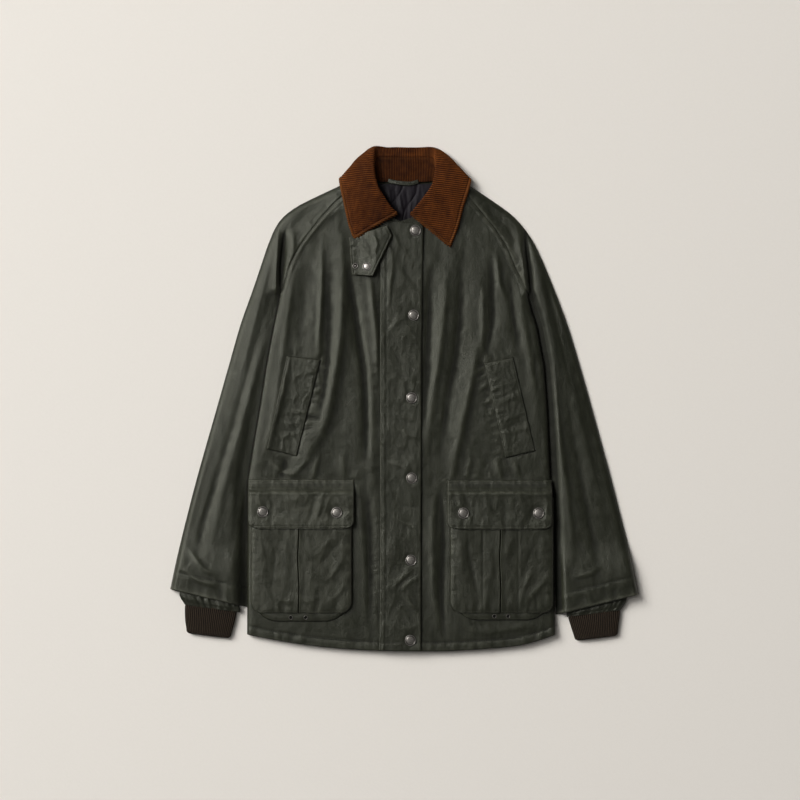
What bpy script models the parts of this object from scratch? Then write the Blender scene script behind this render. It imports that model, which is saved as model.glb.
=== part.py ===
"""Waxed-cotton field jacket with a corduroy collar, buttoned and laid flat on its back.

Every table and size below is in millimetres; MM turns them into metres when a mesh is made.
+X is the wearer's left (the right-hand side seen from above), +Y runs to the collar, +Z is up.
The back lies on the surface at Z = 0 and the fronts and sleeves lie on it.
"""

import math

import bmesh
import bpy
import numpy as np

MM = 0.001

# ---- driving dimensions -------------------------------------------------------------------
SEAM_GAP = 0.5          # across X, so about 0.3 square to the slanting raglan seams
SHELL = 2.4             # outer cloth with its quilted lining
OVERLAY = 1.8           # one turned-in layer of outer cloth: pocket, flap, welt, latch
PLACKET_WALL = 2.0
CORDUROY = 2.2
LINING_WALL = 1.8
RIB_WALL = 2.2
BAND_WALL = 1.6
LIE_GAP = 0.5           # clearance of a piece that lies on a curved panel
LOFT = 2.4              # how far the fronts stand off the back away from the edges
CUFF_LOFT = 4.6         # extra at the sleeve hems, where the storm cuffs are inside
EDGE_ROUND = 16.0       # width over which a panel comes down to its folded edge
EDGE_TOP = 2 * SHELL + SEAM_GAP
NECK_LIFT = 3.2         # the fall of the collar lies under the back at the neck

FRONT_MEET_X = -6.0     # the two fronts meet under the placket
NECK_FRONT_Y = 276.0    # lowest point of the neck opening
ARMHOLE_Y = 222.0       # an extra row across the curved part of the raglan seam
POCKET_LIFT = 3.1       # the bellows pocket stands on its gusset
FLAP_LIFT = POCKET_LIFT + OVERLAY + 0.4
SNAP_RADIUS = 8.5
SNAP_HEIGHT = 2.8

# body edge: raglan seam from the neck to the armpit, then the side fold down to the hem
# y, x of the wearer's right (left in plan), x of the wearer's left
BODY_EDGE = [
    (336, -62, 63), (326, -78, 80), (316, -94, 97), (292, -119, 117), (264, -142, 140),
    (236, -162, 158), (208, -177, 170), (184, -186, 181), (158, -193, 192), (110, -203, 206),
    (50, -214, 217), (-15, -224, 222), (-78, -235, 225), (-126, -243, 227), (-200, -244, 231),
    (-262, -244, 232), (-330, -244, 234), (-365, -244, 236),
]

# outer edge of a sleeve from the shoulder to the hem, one row to a section of the sleeve
# y on the body edge, x and y on the outer edge
SLEEVE_RIGHT = [
    (336, -58, 354), (326, -76, 343), (316, -95, 332), (292, -138, 312), (264, -172, 294),
    (236, -195, 273), (208, -210, 242), (184, -222, 207), (158, -238, 160), (110, -254, 115), (50, -272, 52),
    (-15, -291, -15), (-78, -309, -78), (-126, -323, -128), (-200, -341, -198),
    (-262, -353, -248), (-323, -363, -295),
]
SLEEVE_LEFT = [
    (336, 60, 354), (326, 78, 343), (316, 97, 332), (292, 138, 305), (264, 170, 281),
    (236, 195, 250), (208, 211, 219), (184, 225, 186), (158, 240, 148), (110, 255, 106), (50, 273, 46),
    (-15, 291, -18), (-78, 308, -80), (-126, 321, -128), (-200, 340, -202),
    (-262, 354, -258), (-335, 363, -303),
]

# front edge of the neck opening: x from the wearer's right to left, y
NECK_FRONT = [(-62, 336), (-53, 316), (-36, 293), (-6, 276), (33, 291), (53, 316), (63, 336)]

# hem: x, y
HEM = [(-250, -364), (-162, -380), (-69, -389), (24, -391), (86, -390), (179, -382), (240, -363)]

# long soft folds of the fronts and sleeves: x0, y0 to x1, y1, height, half-width
FOLDS = [
    (-136, 215, -120, 90, 1.1, 10), (-96, 150, -98, 20, 1.2, 12), (-110, -20, -118, -80, 0.9, 9),
    (-70, 150, -68, -60, -1.0, 13), (66, 135, 58, -10, 1.0, 12), (96, 30, 80, -85, 1.2, 11),
    (146, 210, 156, 158, 0.9, 11), (-236, 140, -262, 20, 0.9, 10), (-276, -30, -300, -190, 1.1, 13),
    (262, 40, 290, -90, 1.1, 13), (236, -40, 268, -230, 0.9, 11),
]

# x, y of each snap cap, top to bottom
PLACKET_SNAPS = [(17, 260), (14, 129), (11, 1), (11, -123), (10, -250), (9, -374)]


# ---- small helpers ------------------------------------------------------------------------
def ease(share):
    share = min(max(share, 0.0), 1.0)
    return share * share * (3 - 2 * share)


def smooth_path(points, steps):
    """Catmull-Rom curve through the points, with the same number of steps to each span."""
    points = np.array(points, dtype=float)
    last = len(points) - 1
    path = []
    for span in range(last):
        before, start = points[max(span - 1, 0)], points[span]
        end, after = points[span + 1], points[min(span + 2, last)]
        for step in range(steps):
            t = step / steps
            bend = 2 * before - 5 * start + 4 * end - after
            twist = 3 * start - before - 3 * end + after
            path.append(start + 0.5 * t * (end - before + t * (bend + t * twist)))
    path.append(points[last])
    return np.array(path)


def distance_to(path, x, y):
    start, along = path[:-1], path[1:] - path[:-1]
    offset = np.array((x, y)) - start
    share = np.clip((offset * along).sum(1) / (along ** 2).sum(1), 0, 1)
    miss = offset - share[:, None] * along
    return float(np.hypot(miss[:, 0], miss[:, 1]).min())


EDGE_COLUMN = {"right": 1, "left": 2}
SLEEVES = {"right": SLEEVE_RIGHT, "left": SLEEVE_LEFT}
BODY_PATH = {side: np.array([(row[EDGE_COLUMN[side]], row[0]) for row in BODY_EDGE], dtype=float)
             for side in SLEEVES}
OUTER_PATH = {side: smooth_path([(row[1], row[2]) for row in SLEEVES[side]], 3)
              for side in SLEEVES}
ARMPIT_Y = 158
SIDE_FOLD = {side: BODY_PATH[side][BODY_PATH[side][:, 1] <= ARMPIT_Y] for side in SLEEVES}
NECK_PATH = smooth_path(NECK_FRONT, 4)
HEM_PATH = smooth_path(HEM, 4)
SIGN = {"right": -1, "left": 1}


def body_edge_x(side, y):
    path = BODY_PATH[side][::-1]
    return float(np.interp(y, path[:, 1], path[:, 0]))


def hem_y(x):
    return float(np.interp(x, HEM_PATH[:, 0], HEM_PATH[:, 1]))


# ---- heights ------------------------------------------------------------------------------
def neck_lift(x, y):
    """Rise of every layer over the part of the collar that lies under the back."""
    return NECK_LIFT * ease((y - 262) / 43) * ease((146 - abs(x)) / 60)


def back_top(x, y):
    return SHELL + neck_lift(x, y)


def stand_off(x, y):
    """0 at a folded edge, 1 where the front layer is clear of the back."""
    share = 1.0
    for side in SLEEVES:
        share *= ease(distance_to(OUTER_PATH[side], x, y) / EDGE_ROUND)
        to_fold = distance_to(SIDE_FOLD[side], x, y) / EDGE_ROUND
        depth = ease((ARMPIT_Y - y) / 70)
        share *= 1 - depth * (1 - ease(to_fold))
    return share


def fold_height(x, y):
    total = 0.0
    for x0, y0, x1, y1, height, half_width in FOLDS:
        line = np.array([(x0, y0), (x1, y1)], dtype=float)
        total += height * ease(1 - distance_to(line, x, y) / (2 * half_width))
    return total


def cuff_rise(x, y):
    """Only the sleeves rise: they lie beyond the sides of the body."""
    beyond_body = abs(x) - 236
    return CUFF_LOFT * ease((-228 - y) / 42) * ease(beyond_body / 10)


def front_top(x, y):
    """Outer surface of the fronts and of the upper side of the sleeves."""
    loft = LOFT + fold_height(x, y) + cuff_rise(x, y)
    return EDGE_TOP + neck_lift(x, y) + loft * stand_off(x, y)


# ---- mesh building ------------------------------------------------------------------------
def make_material(name, colour, roughness, metallic=0.0):
    material = bpy.data.materials.new(name)
    material.use_nodes = True
    shader = material.node_tree.nodes["Principled BSDF"]
    shader.inputs["Base Color"].default_value = (*colour, 1.0)
    shader.inputs["Roughness"].default_value = roughness
    shader.inputs["Metallic"].default_value = metallic
    return material


def add_object(name, mesh, material):
    thing = bpy.data.objects.new(name, mesh)
    mesh.materials.append(material)
    bpy.data.collections["field_jacket"].objects.link(thing)
    return thing


def add_surface(name, rows, material, closed=False):
    """Open quad surface through rows of (x, y, z) in millimetres; closed joins each row's ends."""
    mesh = bpy.data.meshes.new(name)
    shape = bmesh.new()
    grid = [[shape.verts.new((x * MM, y * MM, z * MM)) for x, y, z in row] for row in rows]
    width = len(grid[0])
    for near, far in zip(grid, grid[1:]):
        for left in range(width if closed else width - 1):
            right = (left + 1) % width
            shape.faces.new((near[left], near[right], far[right], far[left]))
    shape.to_mesh(mesh)
    shape.free()
    return add_object(name, mesh, material)


def thicken(thing, wall, offset):
    """Cloth wall on one side of the surface: offset -1 goes inward, 1 outward."""
    modifier = thing.modifiers.new("wall", "SOLIDIFY")
    modifier.thickness = wall * MM
    modifier.offset = offset
    split = thing.modifiers.new("split", "TRIANGULATE")
    split.quad_method = "FIXED"


def face_up(rows):
    """Rows run up the plan and points run from left to right, so the faces look up."""
    flipped = [row if row[0][0] < row[-1][0] else row[::-1] for row in rows]
    return flipped if flipped[0][0][1] < flipped[-1][0][1] else flipped[::-1]


def spaced(width, near_start, near_end, middle):
    """Shares along a row: close together near an edge that is rounded down."""
    reach = min(EDGE_ROUND / width, 0.36)
    close = [0.0, 0.25 * reach, 0.5 * reach, 0.75 * reach]
    shares = list(close) if near_start else [0.0]
    start = reach if near_start else 1 / (middle + 1)
    end = 1 - reach if near_end else 1 - 1 / (middle + 1)
    shares += list(np.linspace(start, end, middle))
    shares += [1 - share for share in reversed(close)] if near_end else [1.0]
    return shares


def add_panel(name, segments, material, height, wall, offset, spacing):
    """A panel from rows of plan segments ((x0, y0), (x1, y1)), each spaced and lifted."""
    rows = []
    for (x0, y0), (x1, y1) in segments:
        width = math.hypot(x1 - x0, y1 - y0)
        row = [(x0 + (x1 - x0) * share, y0 + (y1 - y0) * share) for share in spacing(width)]
        rows.append([(x, y, height(x, y)) for x, y in row])
    thing = add_surface(name, face_up(rows), material)
    thicken(thing, wall, offset)
    return thing


# ---- body ---------------------------------------------------------------------------------
def body_rows():
    """Heights of the straight rows; the hem follows as a curved one."""
    seam_rows = [row[0] for row in BODY_EDGE[:-1]]
    return sorted(seam_rows + [NECK_FRONT_Y, ARMHOLE_Y], reverse=True)


def front_inner_x(side, y):
    """Front edge under the placket, then the neck opening above it."""
    neck = NECK_PATH[NECK_PATH[:, 0] <= FRONT_MEET_X] if side == "right" else \
        NECK_PATH[NECK_PATH[:, 0] >= FRONT_MEET_X]
    heights = neck[:, 1] if side == "left" else neck[::-1, 1]
    edges = neck[:, 0] if side == "left" else neck[::-1, 0]
    return float(np.interp(y, heights, edges))


def add_front(side, material):
    """Front panel from the placket to the raglan seam and side fold."""
    gap = SIGN[side] * SEAM_GAP / 2
    rows = []
    for y in [332] + body_rows()[1:]:
        inner = front_inner_x(side, y) + gap
        outer = body_edge_x(side, y) - gap
        shares = spaced(abs(outer - inner), False, True, 4)
        row = [(inner + (outer - inner) * share, y) for share in shares]
        rows.append([(x, y, front_top(x, y)) for x, y in row])
    rows.append([(x, hem_y(x), front_top(x, hem_y(x))) for x, y, z in rows[-1]])
    thing = add_surface("front_" + side, face_up(rows), material)
    thicken(thing, SHELL, -1)


def add_back(material):
    """Back panel, flat on the surface and lifted at the neck over the collar."""
    rows = []
    for y in body_rows():
        left = body_edge_x("right", y) + SEAM_GAP / 2
        right = body_edge_x("left", y) - SEAM_GAP / 2
        row = [left + (right - left) * share for share in np.linspace(0, 1, 7)]
        rows.append([(x, y, back_top(x, y)) for x in row])
    rows.append([(x, hem_y(x), back_top(x, hem_y(x))) for x, y, z in rows[-1]])
    thing = add_surface("back", face_up(rows), material)
    thicken(thing, SHELL, -1)


# ---- sleeves ------------------------------------------------------------------------------
def sleeve_segments(side):
    gap = SIGN[side] * SEAM_GAP / 2
    return [((body_edge_x(side, inner_y) + gap, inner_y), (outer_x, outer_y))
            for inner_y, outer_x, outer_y in SLEEVES[side]]


def add_sleeve(side, material):
    """Raglan sleeve: its upper side comes down to its under side along both edges."""
    for layer, height in (("front", front_top), ("back", back_top)):
        add_panel(f"sleeve_{side}_{layer}", sleeve_segments(side), material, height, SHELL, -1,
                  lambda width: spaced(width, True, True, 2))


# storm cuff: y, x and half-width of each section, its lowest and highest points, turn in degrees
BAND_RIGHT = [(-280, -297, 45, 2.9, 9.0, -12), (-309, -302, 47, 2.9, 9.2, -12),
              (-324, -297, 46, 0.8, 8.4, -7)]
BAND_LEFT = [(-290, 300, 45, 2.9, 9.0, 14), (-319, 298, 48, 2.9, 9.2, 14),
             (-331, 294, 46, 0.8, 8.4, 7)]
RIB_RIGHT = [(-324.8, -299, 40, 0.0, 8.0, -7), (-345, -302, 38, 0.0, 8.4, -7),
             (-366, -304, 33, 0.0, 7.6, -7)]
RIB_LEFT = [(-332.4, 293, 40, 0.0, 8.0, 7), (-350, 295, 37, 0.0, 8.4, 7),
            (-370, 297, 32, 0.0, 7.6, 7)]


def add_flat_tube(name, sections, wall, material):
    """Flattened open tube: round at the sides and flat where it lies."""
    around = 16
    rows = []
    for y, centre_x, half_width, low, high, degrees in sections:
        turn = math.radians(degrees)
        middle, half_height = (low + high) / 2, (high - low) / 2
        row = []
        for step in range(around):
            angle = 2 * math.pi * step / around
            across = math.copysign(abs(math.cos(angle)) ** 0.8, math.cos(angle)) * half_width
            rise = math.copysign(abs(math.sin(angle)) ** 0.8, math.sin(angle)) * half_height
            row.append((centre_x + across * math.cos(turn), y + across * math.sin(turn),
                        middle + rise))
        rows.append(row)
    thing = add_surface(name, rows, material, closed=True)
    thicken(thing, wall, -1)


# ---- pieces that lie on the fronts --------------------------------------------------------
PLACKET_LEFT = [(276, -38), (-300, -38.5), (-391, -40)]
PLACKET_RIGHT = [(269, 30), (153, 27), (-300, 26), (-391, 26)]
PLACKET_LIFT = LIE_GAP


def on_front(lift):
    return lambda x, y: front_top(x, y) + lift


def table_x(table, y):
    ordered = sorted(table)
    return float(np.interp(y, [row[0] for row in ordered], [row[1] for row in ordered]))


def add_placket(material):
    segments = [((-38, 277), (29, 270))]
    for y in [262, 200, 140, 80, 20, -40, -100, -160, -220, -280, -340]:
        segments.append(((table_x(PLACKET_LEFT, y), y), (table_x(PLACKET_RIGHT, y), y)))
    segments.append(((-40, hem_y(-40)), (26, hem_y(26))))
    add_panel("placket", segments, material, on_front(PLACKET_LIFT), PLACKET_WALL, 1,
              lambda width: np.linspace(0, 1, 4))


# welt corners: top inner, top outer, bottom inner, bottom outer
WELTS = {
    "right": ((-130, 60), (-182, 66), (-167, -89), (-213, -78)),
    "left": ((123, 55), (168, 64), (156, -92), (202, -81)),
}


def add_welt(side, material):
    top_in, top_out, low_in, low_out = [np.array(corner, dtype=float) for corner in WELTS[side]]
    segments = []
    for share in np.linspace(0, 1, 7):
        inner = top_in + (low_in - top_in) * share
        outer = top_out + (low_out - top_out) * share
        segments.append((tuple(inner), tuple(outer)))
    add_panel("welt_" + side, segments, material, on_front(LIE_GAP), OVERLAY, 1,
              lambda width: np.linspace(0, 1, 6))


# pocket, gusset and flap: left x, right x, top y, bottom y, corner radius
POCKETS = {"right": (-238, -81, -153, -332, 18), "left": (70, 231, -153, -332, 18)}
GUSSETS = {"right": (-236, -84, -160, -344, 26), "left": (73, 228, -160, -342, 26)}
FLAPS = {"right": (-242, -78, -125, -200, 11), "left": (66, 229, -126, -201, 11)}
GUSSET_WIDTH = 17


def rounded_segments(left, right, top, bottom, radius, straight_rows):
    """Rows across a flat piece whose two lower corners are round."""
    segments = [((left, y), (right, y)) for y in np.linspace(top, bottom + radius, straight_rows)]
    for degrees in (30, 52, 70, 84):
        angle = math.radians(degrees)
        inset, drop = radius * (1 - math.cos(angle)), radius * math.sin(angle)
        y = bottom + radius - drop
        segments.append(((left + inset, y), (right - inset, y)))
    return segments


def pocket_spacing(width):
    return spaced(width, True, True, 3)


def add_pocket(side, material):
    add_panel("pocket_" + side, rounded_segments(*POCKETS[side], 6), material,
              on_front(POCKET_LIFT), OVERLAY, 1, pocket_spacing)


def add_gusset(side, material):
    """U-shaped bellows strip that carries the pocket's sides and bottom."""
    left, right, top, bottom, radius = GUSSETS[side]
    stations = [((left, y), (1, 0)) for y in (top, -205, -250, -290, bottom + radius)]
    for degrees in (22, 45, 68):
        angle = math.radians(degrees)
        out = np.array((-math.cos(angle), -math.sin(angle)))
        centre = np.array((left + radius, bottom + radius))
        stations.append((tuple(centre + out * radius), tuple(-out)))
    for share in np.linspace(0, 1, 6):
        stations.append(((left + radius + (right - left - 2 * radius) * share, bottom), (0, 1)))
    mirrored = [((left + right - x, y), (-dx, dy)) for (x, y), (dx, dy) in stations[:8]]
    stations += mirrored[::-1]
    rows = []
    for (x, y), (inward_x, inward_y) in stations:
        row = []
        for share in (1.0, 0.66, 0.33, 0.0):
            px, py = x + inward_x * GUSSET_WIDTH * share, y + inward_y * GUSSET_WIDTH * share
            row.append((px, py, front_top(px, py) + LIE_GAP))
        rows.append(row)
    thing = add_surface("pocket_gusset_" + side, rows, material)
    thicken(thing, POCKET_LIFT - LIE_GAP - 0.4, 1)


def flap_height(x, y):
    """Sewn to the front along its top, then over the pocket."""
    raise_over_pocket = ease((-131 - y) / 17)
    return front_top(x, y) + LIE_GAP + (FLAP_LIFT - LIE_GAP) * raise_over_pocket


def add_flap(side, material):
    left, right, top, bottom, radius = FLAPS[side]
    segments = [((left, y), (right, y)) for y in (top, -131, -137, -143, -149)]
    segments += rounded_segments(left, right, -160, bottom, radius, 3)
    add_panel("flap_" + side, segments, material, flap_height, OVERLAY, 1, pocket_spacing)


# throat latch: left x, left y, right x, right y of each row from under the collar to its end
LATCH = [(-86, 249, -27, 268), (-85, 236, -19, 252), (-84, 221, -29, 231), (-83, 206, -39, 210),
         (-81, 191, -49, 189)]
LATCH_LIFT = PLACKET_LIFT + PLACKET_WALL + 0.8


def latch_height(x, y):
    """Over the placket, and down on the front beside it."""
    return front_top(x, y) + LIE_GAP + (LATCH_LIFT - LIE_GAP) * ease((x + 51) / 11)


def add_latch(material):
    segments = [((x0, y0), (x1, y1)) for x0, y0, x1, y1 in LATCH]
    add_panel("throat_latch", segments, material, latch_height, OVERLAY, 1,
              lambda width: np.linspace(0, 1, 11))


# ---- neck ---------------------------------------------------------------------------------
def add_lining(material):
    """Quilted lining of the back, where it shows in the neck opening."""
    rows = []
    for y in (264, NECK_FRONT_Y, 292, 316, 331):
        half_width = 32 + (y - 264) * 0.3
        rows.append([(x, y, back_top(x, y) + LIE_GAP)
                     for x in np.linspace(-half_width, half_width, 7)])
    thing = add_surface("lining_neck", face_up(rows), material)
    thicken(thing, LINING_WALL, 1)


HANGER = [(-26, 334.5), (-14, 331.5), (0, 330), (11, 330), (22, 333)]
HANGER_WIDTH = 6.0
HANGER_Z = 8.6


def add_hanger_loop(material):
    rows = [[(x, y, HANGER_Z), (x, y + HANGER_WIDTH, HANGER_Z)] for x, y in HANGER]
    thing = add_surface("hanger_loop", [row[::-1] for row in rows], material)
    thicken(thing, 1.4, 1)


# collar sections from the centre of the back to the front end of a leaf, wearer's right:
# lower edge of the stand, seam of stand and fall, roll, middle of the fall, edge of the fall
COLLAR_RIGHT = [
    ((-24, 335, 7.9), (-24, 374, 9.4), (-25, 389, 10.0), (-29, 371, 0.3), (-34, 318, 0.2)),
    ((-44, 337, 8.4), (-42, 373, 10.4), (-45, 390, 12.0), (-58, 377, 0.9), (-66, 320, 0.2)),
    ((-50, 343, 9.4), (-46, 365, 13.0), (-50, 379, 17.0), (-79, 366, 8.0), (-89, 329, 0.3)),
    ((-52, 341, 11.4), (-47, 350, 15.0), (-50, 360, 20.5), (-83, 354, 16.0), (-102, 341, 7.0)),
    ((-55, 328, 13.4), (-45, 334, 17.0), (-47, 341, 23.5), (-75, 336, 20.5), (-100, 327, 14.4)),
    ((-50, 314, 13.4), (-40, 320, 17.5), (-42, 324, 24.5), (-71, 313, 20.5), (-94, 299, 14.4)),
    ((-41, 301, 13.2), (-31, 307, 17.5), (-33, 308, 23.5), (-64, 291, 19.5), (-88, 272, 13.6)),
    ((-31, 291, 12.6), (-21, 295, 16.5), (-23, 294, 21.5), (-54, 276, 18.0), (-82, 254, 13.0)),
    ((-22, 284, 12.4), (-13, 287, 16.0), (-14, 283, 19.5), (-46, 265, 17.5), (-78, 245, 12.8)),
]
COLLAR_LEFT = [
    ((24, 335, 7.9), (24, 374, 9.4), (25, 389, 10.0), (29, 371, 0.3), (34, 318, 0.2)),
    ((45, 337, 8.4), (43, 373, 10.4), (45, 388, 12.0), (58, 376, 0.9), (66, 320, 0.2)),
    ((51, 343, 9.4), (47, 365, 13.0), (50, 377, 17.0), (79, 365, 8.0), (89, 329, 0.3)),
    ((53, 341, 11.4), (48, 350, 15.0), (51, 360, 20.5), (84, 353, 16.0), (103, 340, 7.0)),
    ((56, 328, 13.4), (46, 334, 17.0), (48, 342, 23.5), (76, 334, 20.5), (101, 325, 14.4)),
    ((51, 314, 13.4), (41, 321, 17.5), (42, 325, 24.5), (68, 310, 20.5), (92, 297, 14.4)),
    ((41, 301, 13.2), (31, 307, 17.5), (32, 310, 23.5), (60, 288, 19.5), (84, 268, 13.6)),
    ((30, 291, 12.6), (21, 296, 16.5), (22, 295, 21.5), (52, 271, 18.0), (77, 248, 13.0)),
    ((20, 284, 12.4), (11, 288, 16.0), (13, 281, 19.5), (40, 259, 17.5), (71, 233, 12.8)),
]
COLLAR_CENTRE = ((0, 334, 7.8), (0, 374, 9.2), (0, 388, 9.8), (0, 370, 0.3), (0, 317, 0.2))
SECTION_STEPS = 2
STEPS_ACROSS = 3
FALL_REST = 0.15         # height of the fall's outer side where it lies on the surface


def collar_sections():
    """Sections all the way round, smoothed along the neckline."""
    table = COLLAR_RIGHT[::-1] + [COLLAR_CENTRE] + COLLAR_LEFT
    columns = [smooth_path([section[column] for section in table], SECTION_STEPS)
               for column in range(5)]
    return list(zip(*columns))


def add_collar(material):
    """Stand and fall, sewn together a little below the roll."""
    fall_rows, stand_rows = [], []
    for section in collar_sections()[::-1]:
        whole = smooth_path(section, STEPS_ACROSS)
        whole[:, 2] = np.maximum(whole[:, 2], FALL_REST)
        stand_rows.append([tuple(point) for point in whole[:STEPS_ACROSS]])
        fall_rows.append([tuple(point) for point in whole[STEPS_ACROSS:]])
    stand = add_surface("collar_stand", stand_rows, material)
    thicken(stand, CORDUROY, -1)
    fall = add_surface("collar_fall", fall_rows, material)
    thicken(fall, CORDUROY, -1)


# ---- snaps and eyelets --------------------------------------------------------------------
def add_turned(name, profile, steps, location, material):
    """Body turned round the Z axis from a profile of (radius, height)."""
    mesh = bpy.data.meshes.new(name)
    shape = bmesh.new()
    corners = [shape.verts.new((radius * MM, 0, height * MM)) for radius, height in profile]
    for upper, lower in zip(corners, corners[1:]):
        shape.edges.new((upper, lower))
    if profile[0][0] > 0:
        shape.edges.new((corners[-1], corners[0]))
    shape.to_mesh(mesh)
    shape.free()
    thing = add_object(name, mesh, material)
    thing.location = [value * MM for value in location]
    turn = thing.modifiers.new("turn", "SCREW")
    turn.steps = steps
    turn.render_steps = steps
    turn.use_merge_vertices = True
    turn.merge_threshold = 0.00005


def add_snap(name, x, y, z, radius, material):
    """Domed cap with a rolled rim."""
    profile = [(0, SNAP_HEIGHT), (0.6 * radius, 0.86 * SNAP_HEIGHT),
               (0.92 * radius, 0.6 * SNAP_HEIGHT), (radius, 0.25 * SNAP_HEIGHT),
               (0.9 * radius, 0), (0, 0)]
    add_turned(name, profile, 14, (x, y, z), material)


def add_ring(name, x, y, z, outer, inner, height, material):
    """Rolled metal ring: an eyelet or the stud of a snap."""
    rim = (outer - inner) / 3
    profile = [(inner, 0.5 * height), (inner + rim, height), (outer - rim, height),
               (outer, 0.3 * height), (outer, 0), (inner, 0)]
    add_turned(name, profile, 10, (x, y, z), material)


FLAP_SNAPS = {"right": [(-219, -175), (-105, -176)], "left": [(91, -177), (207, -177)]}
EYELETS = {"right": [(-176, -338.5), (-153, -338.5)], "left": [(139, -336.5), (160, -336.5)]}


def add_fasteners(metal):
    """Every cap and ring sits just clear of the cloth that carries it."""
    rest = 0.35
    placket_top = PLACKET_LIFT + PLACKET_WALL + rest
    for number, (x, y) in enumerate(PLACKET_SNAPS, start=1):
        add_snap(f"snap_placket_{number}", x, y, front_top(x, y) + placket_top, SNAP_RADIUS, metal)
    for side in SLEEVES:
        for number, (x, y) in enumerate(FLAP_SNAPS[side], start=1):
            z = flap_height(x, y) + OVERLAY + rest
            add_snap(f"snap_flap_{side}_{number}", x, y, z, SNAP_RADIUS, metal)
        for number, (x, y) in enumerate(EYELETS[side], start=1):
            z = front_top(x, y) + POCKET_LIFT - 0.4 + rest
            add_ring(f"eyelet_{side}_{number}", x, y, z, 3.0, 1.4, 0.9, metal)
    add_snap("snap_latch", -58.5, 204, latch_height(-58.5, 204) + OVERLAY + rest, 6.5, metal)
    add_ring("stud_latch", -76, 205, latch_height(-76, 205) + OVERLAY + rest, 4.3, 1.6, 1.6, metal)


# ---- assembly -----------------------------------------------------------------------------
def clear_scene():
    for thing in list(bpy.data.objects):
        bpy.data.objects.remove(thing, do_unlink=True)


def build_jacket():
    clear_scene()
    collection = bpy.data.collections.new("field_jacket")
    bpy.context.scene.collection.children.link(collection)
    waxed = make_material("waxed_cotton", (0.040, 0.041, 0.032), 0.45)
    corduroy = make_material("corduroy", (0.095, 0.028, 0.009), 0.85)
    quilt = make_material("quilted_lining", (0.020, 0.014, 0.020), 0.6)
    rib = make_material("rib_knit", (0.018, 0.014, 0.011), 0.9)
    metal = make_material("snap_metal", (0.19, 0.17, 0.14), 0.35, 1.0)

    add_back(waxed)
    for side, band, ribbed in (("right", BAND_RIGHT, RIB_RIGHT), ("left", BAND_LEFT, RIB_LEFT)):
        add_front(side, waxed)
        add_sleeve(side, waxed)
        add_flat_tube("cuff_band_" + side, band, BAND_WALL, waxed)
        add_flat_tube("rib_cuff_" + side, ribbed, RIB_WALL, rib)
        add_welt(side, waxed)
        add_gusset(side, waxed)
        add_pocket(side, waxed)
        add_flap(side, waxed)
    add_placket(waxed)
    add_latch(waxed)
    add_lining(quilt)
    add_hanger_loop(waxed)
    add_collar(corduroy)
    add_fasteners(metal)


build_jacket()
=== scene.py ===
"""Looks of a waxed-cotton field jacket with a corduroy collar, laid flat on its back.

Plan sizes are in millimetres in the frame of the CAD model, with +X to the wearer's left and +Y
to the collar. MM turns them into metres when a mesh is made. Every cloth piece is a fine grid
of points whose height comes from the same few fields: the lie of the panel, its folds, its
seams and the small crumples of waxed cloth.
"""
import math
from functools import partial

import bmesh
import bpy
import numpy as np
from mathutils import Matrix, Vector


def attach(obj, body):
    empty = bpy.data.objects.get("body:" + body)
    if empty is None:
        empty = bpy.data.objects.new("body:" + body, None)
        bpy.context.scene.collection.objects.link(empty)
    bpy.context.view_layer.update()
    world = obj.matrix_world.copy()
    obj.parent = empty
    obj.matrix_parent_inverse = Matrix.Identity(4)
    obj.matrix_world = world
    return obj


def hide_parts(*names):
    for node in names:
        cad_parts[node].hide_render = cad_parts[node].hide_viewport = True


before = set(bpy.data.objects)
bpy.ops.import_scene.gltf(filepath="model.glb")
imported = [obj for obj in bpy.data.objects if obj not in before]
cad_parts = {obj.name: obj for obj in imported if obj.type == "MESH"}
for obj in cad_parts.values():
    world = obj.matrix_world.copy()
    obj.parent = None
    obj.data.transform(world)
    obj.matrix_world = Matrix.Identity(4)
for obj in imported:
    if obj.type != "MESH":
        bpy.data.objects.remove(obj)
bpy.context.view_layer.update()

MM = 0.001
SIDES = ("right", "left")
SIGN = {"right": -1, "left": 1}

# ---- walls and levels ----------------------------------------------------------------------
SHELL = 2.4             # top of the back where nothing lifts it
CLOTH_WALL = 1.3        # visible thickness of one turned edge of waxed cotton
BACK_WALL = 1.7         # the back and the under side of the sleeves, with their lining
CORDUROY = 2.2          # wall of the collar
BODY_TOP = 9.2          # outer side of the fronts and sleeves where nothing folds
EDGE_LOW = 0.7          # where a folded edge meets the surface
NECK_LIFT = 3.2         # rise of the cloth round the neck, where the collar is sewn in
CUFF_LOFT = 4.2         # rise of the sleeve's end over the storm cuff
POCKET_LIFT = 4.4       # pockets and flaps above the cloth under them
FLAP_LIFT = 6.9
FOLD_STRENGTH = 1.3     # scale of every fold's height
WEDGE_HEIGHT = -5       # folds deeper than this get painted shade as dark wedges
FRONT_MEET_X = -6.0
ARMPIT_Y = 158
LEVEL_Y = -300          # below it the rows of the body's grids follow the hem
PANEL_GAP = 0.15        # half the gap between two panels of the upper side
BACK_GAP = 0.2
HEM_STITCH = 13.5       # rows of stitches, from the edge or seam that they run beside
SLEEVE_HEM_STITCH = 29
RAGLAN_ROWS = (1.9, 8.2)
PLACKET_ROWS = (3.4, 10.2)
FLAP_BAND = 16.5
FLAP_STITCH = 2.8
POCKET_STITCH = 2.6

# ---- plan ----------------------------------------------------------------------------------
# y, x of the body edge on the wearer's right, x on the wearer's left
BODY_EDGE = [
    (336, -62, 63), (326, -78, 80), (316, -94, 97), (292, -119, 117), (264, -142, 140),
    (236, -162, 158), (208, -177, 170), (184, -186, 181), (158, -193, 192), (110, -203, 206),
    (50, -214, 217), (-15, -224, 222), (-78, -235, 225), (-126, -243, 227), (-200, -244, 231),
    (-262, -244, 232), (-330, -244, 234), (-365, -244, 236),
]

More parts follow.
